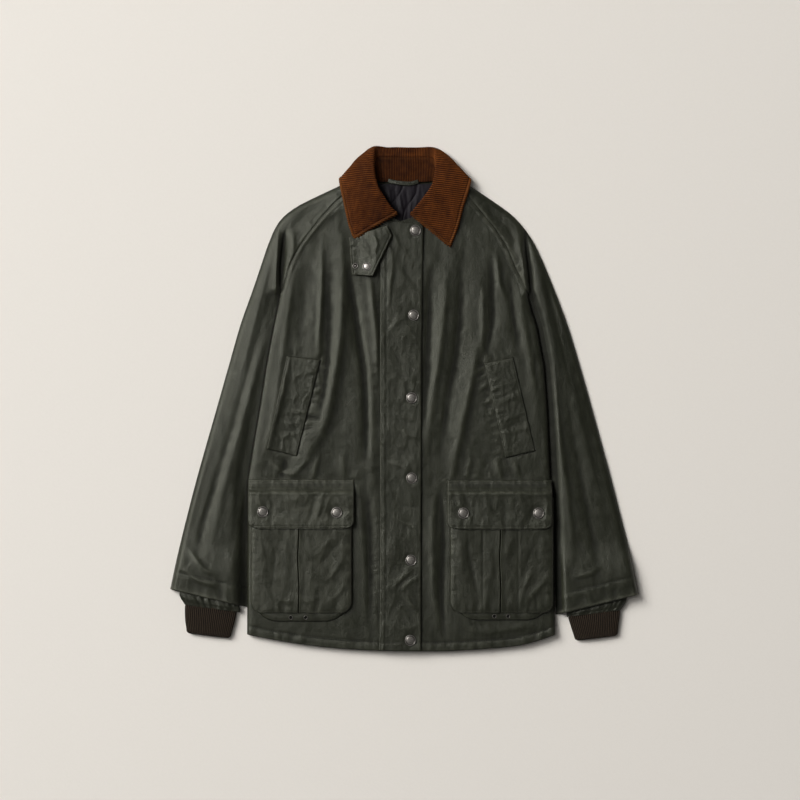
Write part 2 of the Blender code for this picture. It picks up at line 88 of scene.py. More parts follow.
# y on the body edge, x and y on the outer edge of the sleeve
SLEEVES = {
    "right": [
        (336, -58, 354), (326, -76, 343), (316, -95, 332), (292, -138, 312), (264, -172, 294),
        (236, -195, 273), (208, -210, 242), (184, -222, 207), (158, -238, 160), (110, -254, 115),
        (50, -272, 52), (-15, -291, -15), (-78, -309, -78), (-126, -323, -128),
        (-200, -341, -198), (-262, -353, -248), (-323, -363, -295),
    ],
    "left": [
        (336, 60, 354), (326, 78, 343), (316, 97, 332), (292, 138, 305), (264, 170, 281),
        (236, 195, 250), (208, 211, 219), (184, 225, 186), (158, 240, 148), (110, 255, 106),
        (50, 273, 46), (-15, 291, -18), (-78, 308, -80), (-126, 321, -128),
        (-200, 340, -202), (-262, 354, -258), (-335, 363, -303),
    ],
}
NECK_FRONT = [(-62, 336), (-53, 316), (-36, 293), (-6, 276), (33, 291), (53, 316), (63, 336)]
HEM = [(-250, -364), (-162, -380), (-69, -389), (24, -391), (86, -390), (179, -382), (240, -363)]

# how far the body's side has come down beside the sleeve: y, share of the full drop
SIDE_DROP = {
    "right": [(158, 0.62), (120, 0.34), (40, 0.26), (-60, 0.30), (-130, 0.55), (-190, 0.9),
              (-330, 1.0)],
    "left": [(158, 0.95), (110, 0.92), (40, 0.85), (-60, 0.85), (-190, 0.95), (-330, 1.0)],
}

# ---- folds -----------------------------------------------------------------------------------
# height, or less than 0 for a trough, then half-width and the points of the crest
FOLDS = [
    # wearer's right front
    (2.6, 5.5, [(-127, 226), (-128, 170), (-131, 110), (-133, 70)]),
    (-1.5, 7, [(-116, 190), (-117, 110), (-122, 30), (-134, -30)]),
    (3.9, 13, [(-99, 248), (-96, 190), (-99, 100), (-110, 25), (-124, -40), (-152, -86)]),
    (-3.2, 8, [(-85, 196), (-74, 120), (-63, 45), (-59, -30), (-61, -92)]),
    (2.4, 6, [(-53, 186), (-48, 140), (-43, 90), (-42, 40)]),
    (1.6, 9, [(-70, 150), (-64, 110), (-54, 40), (-50, -50), (-50, -130)]),
    (-1.4, 12, [(-150, 206), (-158, 130), (-160, 80)]),
    (1.3, 8, [(-172, 196), (-182, 120), (-192, 50), (-204, -30), (-216, -96)]),
    (1.5, 8, [(-178, 60), (-196, -20), (-214, -80)]),
    (1.0, 7, [(-72, -134), (-66, -190), (-62, -260), (-61, -330)]),
    (-1.0, 7, [(-60, -120), (-55, -190), (-52, -280), (-51, -372)]),
    (1.3, 4, [(-206, -100), (-190, -112), (-164, -121)]),
    (1.4, 5, [(-148, -92), (-166, -112), (-176, -122)]),
    (1.1, 4, [(-132, -88), (-140, -121)]),
    (1.0, 4, [(-96, -90), (-93, -121)]),
    (-1.4, 5, [(-184, -90), (-190, -121)]),
    # wearer's left front
    (2.0, 9, [(64, 196), (62, 140), (53, 60), (42, -10), (34, -80)]),
    (2.4, 9, [(112, 84), (104, 30), (92, -30), (80, -86), (76, -118)]),
    (-1.8, 9, [(90, 214), (88, 160), (84, 90), (68, 0), (56, -90)]),
    (-1.6, 6, [(134, 210), (136, 160), (136, 118), (128, 72)]),
    (1.9, 5, [(143, 220), (148, 176), (155, 158)]),
    (1.5, 5, [(121, 170), (122, 120), (120, 70)]),
    (-1.3, 6, [(163, 190), (168, 130), (176, 80)]),
    (1.2, 7, [(178, 170), (186, 110), (198, 40), (208, -40)]),
    (-2.0, 8, [(42, 196), (38, 120), (34, 30), (32, -40)]),
    (1.5, 6, [(46, -150), (44, -220), (46, -300), (52, -350)]),
    (-1.4, 6, [(56, -140), (60, -210), (58, -300), (62, -370)]),
    (1.0, 5, [(102, -92), (96, -122)]),
    (1.1, 5, [(142, -96), (150, -122)]),
    (1.0, 4, [(172, -98), (178, -122)]),
    (0.8, 7, [(90, -350), (120, -362), (170, -356), (210, -350)]),
    # wearer's right sleeve
    (3.4, 4.5, [(-195, 256), (-197, 226), (-199, 190), (-199, 150)]),
    (-7.6, 4.0, [(-186, 254), (-189, 224), (-191, 196), (-191, 166)]),
    (2.0, 7, [(-174, 258), (-172, 232), (-176, 214)]),
    (1.6, 8, [(-200, 246), (-214, 190), (-232, 120), (-250, 50)]),
    (-1.5, 8, [(-210, 150), (-234, 70), (-262, -30), (-292, -130), (-316, -220)]),
    (1.9, 12, [(-216, 90), (-240, 10), (-262, -70), (-286, -160), (-300, -230)]),
    (1.5, 10, [(-300, -60), (-318, -130), (-336, -200), (-346, -260)]),
    (-1.4, 10, [(-236, -30), (-252, -110), (-262, -190), (-266, -260)]),
    (1.3, 7, [(-250, -150), (-256, -210), (-254, -270)]),
    (1.5, 4, [(-330, -236), (-312, -262), (-296, -270)]),
    (1.1, 4, [(-344, -262), (-318, -282), (-292, -288)]),
    (-1.0, 5, [(-290, -120), (-312, -190), (-322, -236)]),
    # wearer's left sleeve
    (2.6, 4.5, [(179, 256), (182, 226), (186, 190), (189, 156)]),
    (-7.4, 4.0, [(187, 256), (190, 226), (194, 196), (197, 156), (199, 130)]),
    (1.6, 7, [(174, 262), (177, 236), (180, 214)]),
    (1.0, 7, [(202, 224), (212, 176), (226, 110), (240, 40)]),
    (-1.6, 7, [(212, 214), (224, 166), (240, 100), (262, 10)]),
    (1.7, 10, [(236, 120), (254, 50), (276, -50), (300, -150)]),
    (1.6, 8, [(232, 20), (240, -60), (252, -150), (262, -240)]),
    (-1.3, 9, [(258, -30), (272, -110), (290, -200), (300, -270)]),
    (1.2, 10, [(300, -90), (318, -160), (334, -230), (344, -280)]),
    (1.2, 4, [(300, -262), (284, -272), (262, -276)]),
    # shoulders
    (1.3, 9, [(-92, 300), (-122, 280), (-150, 250), (-166, 226)]),
    (-1.2, 10, [(-120, 306), (-150, 286), (-180, 258)]),
    (1.2, 9, [(98, 300), (128, 276), (150, 246), (166, 216)]),
    (-1.1, 10, [(124, 296), (154, 272), (182, 236)]),
]


# ---- fields ----------------------------------------------------------------------------------
def ease(share):
    share = np.clip(share, 0.0, 1.0)
    return share * share * (3 - 2 * share)


def rolled(share):
    """Quarter of an ellipse: 0 and steep at a folded edge, 1 and level past it."""
    share = np.clip(share, 0.0, 1.0)
    return np.sqrt(1 - (1 - share) ** 2)


def bell(distance, width):
    return np.exp(-(distance / width) ** 2)


def smooth_path(points, steps):
    """Catmull-Rom through points, or through rows of points, with even steps to each span."""
    points = np.array(points, dtype=float)
    last = len(points) - 1
    path = []
    for span in range(last):
        before, start = points[max(span - 1, 0)], points[span]
        end, after = points[span + 1], points[min(span + 2, last)]
        bend = 2 * before - 5 * start + 4 * end - after
        twist = 3 * start - before - 3 * end + after
        for t in np.arange(steps) / steps:
            path.append(start + 0.5 * t * (end - before + t * (bend + t * twist)))
    path.append(points[last])
    return np.array(path)


def own_folds(table):
    return [(height, width, smooth_path(points, 4)) for height, width, points in table]


def steps_along(path):
    return np.hypot(*np.diff(path, axis=0).T)


def running(steps):
    """Length up to each point, from the lengths between them."""
    return np.concatenate([[0], np.cumsum(steps)])


def sampled(path, run, places):
    """Points of a path, or rows of any numbers, at those lengths along it."""
    return np.stack([np.interp(places, run, column) for column in path.T], axis=1)


def path_length(path):
    return float(steps_along(path).sum())


def nearest(path, x, y):
    """Distance to a path, share of its length there, and its side: 1 left of it, -1 right."""
    best = np.full(np.shape(x), 1e9)
    share, side = np.zeros(np.shape(x)), np.zeros(np.shape(x))
    total, run = path_length(path), 0.0
    for start, end in zip(path, path[1:]):
        length = math.hypot(*(end - start))
        ax, ay = (end - start) / length
        dx, dy = x - start[0], y - start[1]
        along = np.clip(dx * ax + dy * ay, 0, length)
        miss = np.hypot(dx - along * ax, dy - along * ay)
        closer = miss < best
        best = np.where(closer, miss, best)
        share = np.where(closer, (run + along) / total, share)
        side = np.where(closer, np.sign(ax * dy - ay * dx), side)
        run += length
    return best, share, side


def box_mask(path, reach, x, y):
    """Points inside the path's box, grown by the reach."""
    low, high = path.min(axis=0) - reach, path.max(axis=0) + reach
    return (x > low[0]) & (x < high[0]) & (y > low[1]) & (y < high[1])


def noise(x, y, seed):
    """Smooth random field of about -1 to 1 with a unit cell, the same on every run."""
    cell_x, cell_y = np.floor(x), np.floor(y)
    fx, fy = x - cell_x, y - cell_y

    def corner(step_x, step_y):
        mixed = (cell_x + step_x) * 127.1 + (cell_y + step_y) * 311.7 + seed * 74.7
        angle = 2 * np.pi * np.modf(np.abs(np.sin(mixed) * 43758.5453))[0]
        return np.cos(angle) * (fx - step_x) + np.sin(angle) * (fy - step_y)

    blend_x, blend_y = ease(fx), ease(fy)
    low = corner(0, 0) * (1 - blend_x) + corner(1, 0) * blend_x
    high = corner(0, 1) * (1 - blend_x) + corner(1, 1) * blend_x
    return 1.5 * (low * (1 - blend_y) + high * blend_y)


def crumple(x, y, size, seed):
    """Short crisp creases of waxed cloth, about 0 to 1, longer along Y than across."""
    warp = 0.8 * noise(x / size / 2.3, y / size / 2.9, seed + 5)
    first = 1 - np.abs(noise(x / size + warp, y / size / 1.7, seed))
    second = 1 - np.abs(noise(x / size * 1.9, y / size * 1.3 + warp, seed + 9))
    return 0.65 * first ** 3 + 0.35 * second ** 3


OUTER_PATH = {side: smooth_path([row[1:] for row in SLEEVES[side]], 3) for side in SIDES}
EDGE_PATH = {side: np.array([(row[1 + SIDES.index(side)], row[0]) for row in BODY_EDGE], float)
             for side in SIDES}
SIDE_FOLD = {side: EDGE_PATH[side][EDGE_PATH[side][:, 1] <= ARMPIT_Y] for side in SIDES}
NECK_PATH = smooth_path(NECK_FRONT, 6)
HEM_PATH = smooth_path(HEM, 6)
FOLD_PATHS = own_folds(FOLDS)


def body_edge_x(side, y):
    path = EDGE_PATH[side][::-1]
    return np.interp(y, path[:, 1], path[:, 0])


def hem_y(x):
    return np.interp(x, HEM_PATH[:, 0], HEM_PATH[:, 1])


def neck_lift(x, y):
    return NECK_LIFT * ease((y - 262) / 43) * ease((146 - np.abs(x)) / 60)


def fold_relief(x, y, folds=None):
    """Crests and troughs that fade at both ends; every fold leans towards the lower right."""
    total = np.zeros(np.shape(x))
    for height, width, path in folds or FOLD_PATHS:
        inside = box_mask(path, 5 * width, x, y)
        if not inside.any():
            continue
        distance, share, side = nearest(path, x[inside], y[inside])
        crest = 0.5 * width
        run = path[-1] - path[0]
        leaning = side * np.sign(height * (run[1] + 0.8 * run[0]))
        reach = 0.6 * width * np.where(leaning > 0, 1.45, 0.65)
        flank = np.exp(-(np.hypot(distance, crest) - crest) / reach)
        fading = np.sin(np.pi * (0.05 + 0.9 * share)) ** 0.7
        total[inside] += FOLD_STRENGTH * height * flank * fading
    return total


def side_valley(x, y):
    """Share of the height that is left beside the fold between body and sleeve."""
    share = np.ones(np.shape(x))
    for side in SIDES:
        distance, _, _ = nearest(SIDE_FOLD[side], x, y)
        table = SIDE_DROP[side][::-1]
        drop = np.interp(y, [row[0] for row in table], [row[1] for row in table])
        drop *= ease((ARMPIT_Y + 14 - y) / 14)
        on_body = np.abs(x) < np.abs(body_edge_x(side, y))
        beyond = {"right": ease(0.06 + distance / 25), "left": ease(0.04 + distance / 17)}[side]
        risen = np.where(on_body, rolled(distance / 9.0), beyond)
        share *= (1 - drop * (1 - risen))
    return share


def outer_roll(x, y):
    share = np.ones(np.shape(x))
    for side in SIDES:
        distance, _, _ = nearest(OUTER_PATH[side], x, y)
        slack = 0.5 * (1 - np.sin(np.clip(distance / 75, 0, 1) * np.pi / 2))
        share = share * rolled(distance / 9.0) * (1 - slack * ease((y + 262) / 60))
    return share


def cuff_rise(x, y):
    return CUFF_LOFT * ease((-222 - y) / 48) * ease((np.abs(x) - 236) / 12)


def small_relief(x, y):
    """Low swells and crumples that cover all the waxed cloth."""
    swell = 0.6 * noise(x / 42, y / 100, 3) + 0.3 * noise(x / 20, y / 62, 4)
    crisp = 0.26 * crumple(x, y, 34, 11) + 0.16 * crumple(x, y, 15, 12)
    return swell + 0.26 * noise(x / 10, y / 18, 5) + crisp


# ---- seams that pucker the panels under them -------------------------------------------------
# groove depth, pucker height, reach of the puckers, pitch of the puckers, points of the seam
PANEL_SEAMS = [
    (0.7, 0.55, 8, 6.0, [(-94, 316), (-119, 292), (-142, 264), (-162, 236), (-177, 208),
                         (-186, 184), (-193, 158)]),
    (0.55, 0.8, 8, 6.5, [(97, 316), (117, 292), (140, 264), (158, 236), (170, 208), (181, 184),
                         (192, 158)]),
    (0.5, 0.5, 9, 7.0, [(-40, 270), (-38, 150), (-38.5, 0), (-38.5, -150), (-39, -391)]),
    (0.5, 0.7, 12, 7.5, [(-182, 66), (-130, 60)]),
    (0.6, 1.5, 13, 9.0, [(-130, 60), (-148, -14), (-167, -89)]),
    (0.5, 0.7, 10, 8.0, [(-213, -78), (-167, -89)]),
    (0.5, 0.8, 12, 7.5, [(123, 55), (168, 64)]),
    (0.6, 1.4, 14, 9.5, [(123, 55), (139, -18), (156, -92)]),
    (0.5, 0.6, 9, 8.0, [(156, -92), (202, -81)]),
    (0.4, 0.7, 10, 9.0, [(-242, -124), (-78, -125)]),
    (0.4, 0.7, 10, 9.0, [(66, -125), (229, -125)]),
]
SEAM_PATHS = [(groove, pucker, reach, pitch, smooth_path(points, 4))
              for groove, pucker, reach, pitch, points in PANEL_SEAMS]


def seam_relief(x, y, seams=None):
    total = np.zeros(np.shape(x))
    for number, (groove, pucker, reach, pitch, path) in enumerate(seams or SEAM_PATHS):
        inside = box_mask(path, 2.5 * reach, x, y)
        if not inside.any():
            continue
        distance, share, side = nearest(path, x[inside], y[inside])
        run = share * path_length(path)
        ripple = noise(run / pitch + 0.03 * distance * side, side * 3.3 + distance / 40,
                       20 + number)
        ripple += 0.5 * noise(run / pitch * 2.1, side * 1.7 + distance / 30, 40 + number)
        away = bell(distance, reach) * (1 - bell(distance, 2.0))
        total[inside] += pucker * ripple * away - groove * bell(distance, 1.3)
    return total


def raglan_relief(x, y):
    """Felled seam: a raised band on the body side between two rows of stitches."""
    total = np.zeros(np.shape(x))
    for number, side in enumerate(SIDES):
        path = SEAM_PATHS[number][4]
        inside = (x * SIGN[side] > 70) & (y > 150)
        distance, _, bank = nearest(path, x[inside], y[inside])
        inward = distance * bank * SIGN[side] * -1
        band = 0.25 * ease(1.6 - np.abs(inward - 5.0) / 4.0)
        for row in RAGLAN_ROWS:
            band -= 0.35 * bell(inward - row, 1.2)
        total[inside] += band
    return total


def hem_relief(x, y):
    """Turned hem: a low ridge, its stitched groove and the ripples between."""
    up = y - hem_y(x)
    hem = 0.5 * ease(1 - np.abs(up - 6) / 7) - 0.6 * bell(up - HEM_STITCH, 1.4)
    return hem + 0.7 * noise(x / 9, up / 60, 61) * ease(1 - up / 26)


def sleeve_hem_distance(side, x, y):
    low, high = SLEEVES[side][-1], body_edge_x(side, SLEEVES[side][-1][0])
    hem = np.array([(high, low[0]), (low[1], low[2])], dtype=float)
    distance, _, _ = nearest(hem, x, y)
    return distance


def sleeve_hem_relief(side, x, y):
    up = sleeve_hem_distance(side, x, y)
    line = -0.5 * bell(up - SLEEVE_HEM_STITCH, 1.5) + 0.35 * ease(1 - np.abs(up - 22) / 9)
    return line + 0.75 * noise(x / 10, up / 70, 66) * ease(1 - up / 44)


def panel_top(x, y):
    """Outer side of the fronts and of the upper side of the sleeves."""
    x, y = np.asarray(x, float), np.asarray(y, float)
    loft = BODY_TOP - EDGE_LOW + fold_relief(x, y) + small_relief(x, y) + cuff_rise(x, y)
    return EDGE_LOW + neck_lift(x, y) + loft * side_valley(x, y) * outer_roll(x, y)


def front_top(x, y):
    x, y = np.asarray(x, float), np.asarray(y, float)
    return panel_top(x, y) + seam_relief(x, y) + hem_relief(x, y) + raglan_relief(x, y)


def point_top(height, x, y):
    """One height from a field, as a plain number."""
    return float(height(np.array([float(x)]), np.array([float(y)]))[0])


# ---- mesh building ---------------------------------------------------------------------------
def blurred(z, cells):
    """Mean of each point's neighbours, that many cells to every side."""
    for axis in (0, 1):
        pad = [(0, 0), (0, 0)]
        pad[axis] = (cells + 1, cells)
        total = np.cumsum(np.pad(z, pad, mode="edge"), axis=axis)
        first = np.take(total, range(total.shape[axis] - 2 * cells - 1), axis=axis)
        last = np.take(total, range(2 * cells + 1, total.shape[axis]), axis=axis)
        z = (last - first) / (2 * cells + 1)
    return z


def painted_light_and_shade_of(z):
    """Above 0 on ridges and below 0 in hollows: the mask of painted highlight on ridges and
    painted shade in hollows.
    """
    return np.clip((z - blurred(z, 4)) / 1.3 + 0.5 * (z - blurred(z, 1)) / 0.5, -1, 1)


def painted_shade_lines(x, y):
    """Painted shade, 1 where a fold is too narrow for any light: the raglan wedges, and a painted
    shadow of the body's sides on the sleeves.
    """
    painted_dark = np.zeros(np.shape(x))
    for height, width, path in FOLD_PATHS:
        if height < WEDGE_HEIGHT:
            distance, share, _ = nearest(path, x, y)
            narrow = 0.8 + 2.6 * np.sin(np.pi * np.clip(0.15 + 0.7 * share, 0, 1))
            painted_dark = np.maximum(painted_dark, bell(distance, narrow))
    # painted shadow of the body's edge on the sleeve beside it, wide on the wearer's left
    for side, width, depth in (("right", 2.5, 0.5), ("left", 12.0, 0.95)):
        distance, _, _ = nearest(SIDE_FOLD[side], x, y)
        beyond = np.abs(x) > np.abs(body_edge_x(side, y))
        shade = depth * bell(distance, width) * (beyond | (distance < 1.0))
        painted_dark = np.maximum(painted_dark, shade * (x * SIGN[side] > 0) * ease((y + 250) / 60))
    return painted_dark


def grid_mesh(name, x, y, z, uv, values):
    """Quad grid from arrays of rows by columns; values are named numbers for each point."""
    index = np.arange(x.size).reshape(x.shape)
    faces = np.stack([index[:-1, :-1], index[:-1, 1:], index[1:, 1:], index[1:, :-1]], axis=-1)
    values = {**values, "painted_light_and_shade": painted_light_and_shade_of(z)}
    return quad_mesh(name, np.stack([x, y, z], axis=-1), faces, uv, values)


def lay_panel(name, node, x, y, z, wear_and_painted_light, degrees=0.0, wall=CLOTH_WALL):
    """Closed panel: its upper side, and an under side that stays above the floor."""
    inner = np.minimum(np.maximum(z - wall, 0.05), z - 0.05)
    # the painted shade lines are taken off the mask here, so the colour darkens along them
    values = {"wear_and_painted_light": wear_and_painted_light, "painted_light_and_shade": np.clip(painted_light_and_shade_of(z) - 1.8 * painted_shade_lines(x, y), -1, 1)}
    points = [np.stack([x, y, level], axis=-1) for level in (z, inner)]
    uv = turned(x, y, degrees) if degrees else (x, y)
    piece = add_piece(name, shell_mesh(name, *points, uv, values), WAXED, [node])


def shell_mesh(name, outer, inner, uv, values, tube=False):
    """Closed shell between two grids of points, with strips of faces along its free edges."""
    index = np.arange(outer[..., 0].size).reshape(outer.shape[:2])
    wide = np.hstack([index, index[:, :1]]) if tube else index
    low = wide + index.size
    top = np.stack([wide[:-1, :-1], wide[:-1, 1:], wide[1:, 1:], wide[1:, :-1]], axis=-1)
    under = np.stack([low[:-1, :-1], low[1:, :-1], low[1:, 1:], low[:-1, 1:]], axis=-1)
    edges = [wide[0], wide[-1, ::-1]] if tube else \
        [np.concatenate([index[0, :-1], index[:-1, -1], index[-1, :0:-1], index[::-1, 0]])]
    rims = [np.stack([edge[1:], edge[:-1], edge[:-1] + index.size, edge[1:] + index.size], axis=-1)
            for edge in edges]
    faces = np.concatenate([top.reshape(-1, 4), under.reshape(-1, 4), *rims])
    doubled = [np.stack([part, part]) for part in uv]
    kept = {key: np.stack([value, value]) for key, value in values.items()}
    return quad_mesh(name, np.stack([outer, inner]), faces, doubled, kept)


def quad_mesh(name, points, faces, uv, values):
    points, faces = points.reshape(-1, 3) * MM, faces.reshape(-1, 4)
    mesh = bpy.data.meshes.new(name)
    mesh.vertices.add(len(points))
    mesh.vertices.foreach_set("co", points.ravel())
    mesh.loops.add(faces.size)
    mesh.loops.foreach_set("vertex_index", faces.ravel())
    mesh.polygons.add(len(faces))
    mesh.polygons.foreach_set("loop_start", np.arange(0, faces.size, 4))
    mesh.update(calc_edges=True)
    layer = mesh.uv_layers.new(name="cloth")
    flat_uv = np.stack([uv[0], uv[1]], axis=-1).reshape(-1, 2) * MM
    layer.data.foreach_set("uv", flat_uv[faces.ravel()].ravel())
    for key, value in values.items():
        attribute = mesh.attributes.new(key, "FLOAT", "POINT")
        attribute.data.foreach_set("value", np.asarray(value, dtype=float).ravel())
    mesh.shade_smooth()
    return mesh


def new_object(name, data):
    made = bpy.data.objects.new(name, data)
    bpy.context.scene.collection.objects.link(made)
    return made


def add_piece(name, mesh, material, nodes=()):
    piece = new_object(name, mesh)
    mesh.materials.append(material)
    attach(piece, "root")
    if nodes:
        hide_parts(*nodes)
    return piece


def thicken(piece, wall, offset=-1.0):
    modifier = piece.modifiers.new("wall", "SOLIDIFY")
    modifier.thickness = wall * MM
    modifier.offset = offset


def edge_spaced(width, count, radius, at_start, at_end):
    """Distances along a row, close together where the panel rolls down at an edge."""
    near = min(radius, 0.34 * width)
    turns = near * (1 - np.cos(np.linspace(0, np.pi / 2, 9)))[:-1]
    inner = count - 8 * (at_start + at_end)
    start = near if at_start else 0.0
    end = width - near if at_end else width
    parts = [turns] if at_start else []
    parts.append(np.linspace(start, end, inner))
    if at_end:
        parts.append((width - turns)[::-1])
    return np.concatenate(parts)


# ---- materials -------------------------------------------------------------------------------
class Shading:
    """A node tree with one Principled shader, and short calls that add nodes to it."""

    def __init__(self, name):
        self.material = bpy.data.materials.new(name)
        self.material.use_nodes = True
        self.tree = self.material.node_tree
        self.shader = self.tree.nodes["Principled BSDF"]

    def put(self, value, socket):
        if isinstance(value, bpy.types.NodeSocket):
            self.tree.links.new(value, socket)
        elif socket.type == "RGBA" and len(value) == 3:
            socket.default_value = (*value, 1.0)
        else:
            socket.default_value = value

    def add(self, kind, inputs=(), **settings):
        made = self.tree.nodes.new(kind)
        for key, value in settings.items():
            setattr(made, key, value)
        for key, value in dict(inputs).items():
            self.put(value, made.inputs[key])
        return made

    def math(self, operation, first, second=0.0):
        inputs = {0: first, 1: second}
        return self.add("ShaderNodeMath", inputs, operation=operation).outputs[0]

    def noise(self, where, scale, detail=2.0, roughness=0.5, distortion=0.0):
        inputs = {"Vector": where, "Scale": scale, "Detail": detail, "Roughness": roughness,
                  "Distortion": distortion}
        return self.add("ShaderNodeTexNoise", inputs).outputs["Fac"]

    def spread(self, value, low, high, to_low, to_high):
        inputs = {"Value": value, "From Min": low, "From Max": high, "To Min": to_low,
                  "To Max": to_high}
        return self.add("ShaderNodeMapRange", inputs).outputs["Result"]

    def mix(self, factor, first, second):
        made = self.add("ShaderNodeMix", data_type="RGBA")
        self.put(factor, made.inputs[0])
        self.put(first, made.inputs[6])
        self.put(second, made.inputs[7])
        return made.outputs[2]

    def tinted(self, colour, value, low, high, most, tint):
        """The colour, mixed with the tint by up to its most as the value goes from low to high."""
        return self.mix(self.spread(value, low, high, 0.0, most), colour, tint)

    def scaled(self, where, factors, turn=0.0):
        inputs = {"Vector": where, "Scale": factors, "Rotation": (0.0, 0.0, turn)}
        return self.add("ShaderNodeMapping", inputs).outputs["Vector"]

    def cloth_place(self):
        return self.add("ShaderNodeUVMap", uv_map="cloth").outputs["UV"]

    def solid_place(self):
        return self.add("ShaderNodeTexCoord").outputs["Object"]

    def attribute(self, name):
        return self.add("ShaderNodeAttribute", attribute_name=name).outputs["Fac"]

    def bump(self, height, distance, under=None):
        inputs = {"Height": height, "Distance": distance, "Strength": 1.0}
        if under is not None:
            inputs["Normal"] = under
        return self.add("ShaderNodeBump", inputs).outputs["Normal"]

    def finish(self, colour, roughness, normal, **constants):
        self.put(colour, self.shader.inputs["Base Color"])
        self.put(roughness, self.shader.inputs["Roughness"])
        self.put(normal, self.shader.inputs["Normal"])
        for key, value in constants.items():
            self.put(value, self.shader.inputs[key.replace("_", " ")])
        return self.material


def weave_height(shading, where, pitch):
    """Plain weave: threads that pass over and under in turn."""
    turned = 2 * math.pi / pitch
    parts = shading.add("ShaderNodeSeparateXYZ", {0: where}).outputs
    across = shading.math("SINE", shading.math("MULTIPLY", parts[0], turned))
    along = shading.math("SINE", shading.math("MULTIPLY", parts[1], turned))
    return shading.math("MULTIPLY", across, along)


def waxed_cotton():
    """Olive cotton under wax: papery grain, uneven gloss, pale where rubbed; painted highlight on
    ridges, painted shade in hollows.
    """
    shading = Shading("waxed_cotton_cloth")
    where, solid = shading.cloth_place(), shading.solid_place()
    broad = shading.noise(where, 9.0, 3.0, 0.6)
    blotch = shading.noise(where, 60.0, 5.0, 0.66, 0.5)
    threads = shading.noise(shading.scaled(where, (900.0, 40.0, 1.0)), 1.0, 2.0)
    picks = shading.noise(shading.scaled(where, (40.0, 900.0, 1.0)), 1.0, 2.0)
    colour = shading.mix(shading.spread(broad, 0.3, 0.7, 0.0, 1.0), (0.0050, 0.0056, 0.0034),
                         (0.0077, 0.0084, 0.0052))
    streak = shading.math("ADD", threads, picks)
    colour = shading.tinted(colour, streak, 0.75, 1.3, 0.55, (0.0180, 0.0194, 0.0122))
    drawn = shading.noise(shading.scaled(where, (240.0, 14.0, 1.0)), 1.0, 3.0, 0.6)
    speckle = shading.noise(where, 420.0, 3.0, 0.7)
    grainy = shading.math("ADD", drawn, speckle)
    colour = shading.tinted(colour, grainy, 0.85, 1.25, 0.58, (0.0200, 0.0214, 0.0136))
    painted_light_and_shade = shading.attribute("painted_light_and_shade")
    patchy = shading.spread(blotch, 0.36, 0.66, 0.15, 1.0)
    # painted highlight: paler colour on the ridges of the relief, in patches
    ridge = shading.math("MULTIPLY", shading.spread(painted_light_and_shade, 0.02, 0.6, 0.0, 0.5), patchy)
    colour = shading.mix(ridge, colour, (0.0270, 0.0285, 0.0185))
    # painted shade: near-black colour in the hollows of the relief and along the painted dark
    # lines
    hollow = shading.spread(painted_light_and_shade, -0.85, -0.05, 0.95, 0.0)
    colour = shading.mix(hollow, colour, (0.0022, 0.0024, 0.0015))
    # paler where the cloth is worn, and where painted highlight and painted light come through the
    # same attribute
    wear_and_painted_light = shading.math("MULTIPLY", shading.attribute("wear_and_painted_light"), patchy)
    colour = shading.mix(wear_and_painted_light, colour, (0.075, 0.076, 0.057))
    mottled = shading.math("ADD", blotch, shading.math("MULTIPLY", speckle, 0.5))
    gloss = shading.spread(mottled, 0.5, 1.0, 0.29, 0.50)
    dull = shading.math("MULTIPLY", shading.math("ADD", wear_and_painted_light, shading.math(
        "MULTIPLY", hollow, 3.0)), 0.15)
    roughness = shading.math("ADD", gloss, dull)
    normal = shading.bump(weave_height(shading, where, 0.0009), 0.00004)
    grain = shading.noise(solid, 330.0, 4.0, 0.7)
    normal = shading.bump(grain, 0.00012, normal)
    crackle = shading.noise(shading.scaled(where, (1.0, 0.6, 1.0), 0.1), 62.0, 4.0, 0.6, 0.9)
    crease = shading.math("ABSOLUTE", shading.math("SUBTRACT", crackle, 0.5))
    crease = shading.math("POWER", shading.math("SUBTRACT", 1.0, crease), 7.0)
    normal = shading.bump(crease, 0.00014, normal)
    return shading.finish(colour, roughness, normal, Specular_IOR_Level=0.4,
                          Specular_Tint=(0.99, 1.0, 0.87))


WAXED = waxed_cotton()


# ---- fronts, sleeves and back ----------------------------------------------------------------
def front_inner_x(side, y):
    """Front edge under the placket, then the neck opening above it."""
    left = side == "left"
    neck = NECK_PATH[NECK_PATH[:, 0] >= FRONT_MEET_X] if left else \
        NECK_PATH[NECK_PATH[:, 0] <= FRONT_MEET_X][::-1]
    return np.interp(y, neck[:, 1], neck[:, 0])


def row_grid(starts, ends, count, rolls):
    """Points along each row from its start to its end, closer together at rolled edges."""
    x, y = [], []
    for start, end in zip(starts, ends):
        width = math.hypot(*(end - start))
        share = edge_spaced(width, count, 9.0, *rolls) / width
        x.append(start[0] + (end[0] - start[0]) * share)
        y.append(start[1] + (end[1] - start[1]) * share)
    return np.array(x), np.array(y)


def turned(x, y, degrees):
    """Coordinates of the cut: plan coordinates turned to the grain of the panel."""
    cosine, sine = math.cos(math.radians(degrees)), math.sin(math.radians(degrees))
    return x * cosine + y * sine, y * cosine - x * sine


def upward(x, y):
    """Rows run up the plan and points from left to right, so that the faces look up."""
    if x[0, -1] < x[0, 0]:
        x, y = x[:, ::-1], y[:, ::-1]
    if y[-1].mean() < y[0].mean():
        x, y = x[::-1], y[::-1]
    return x, y


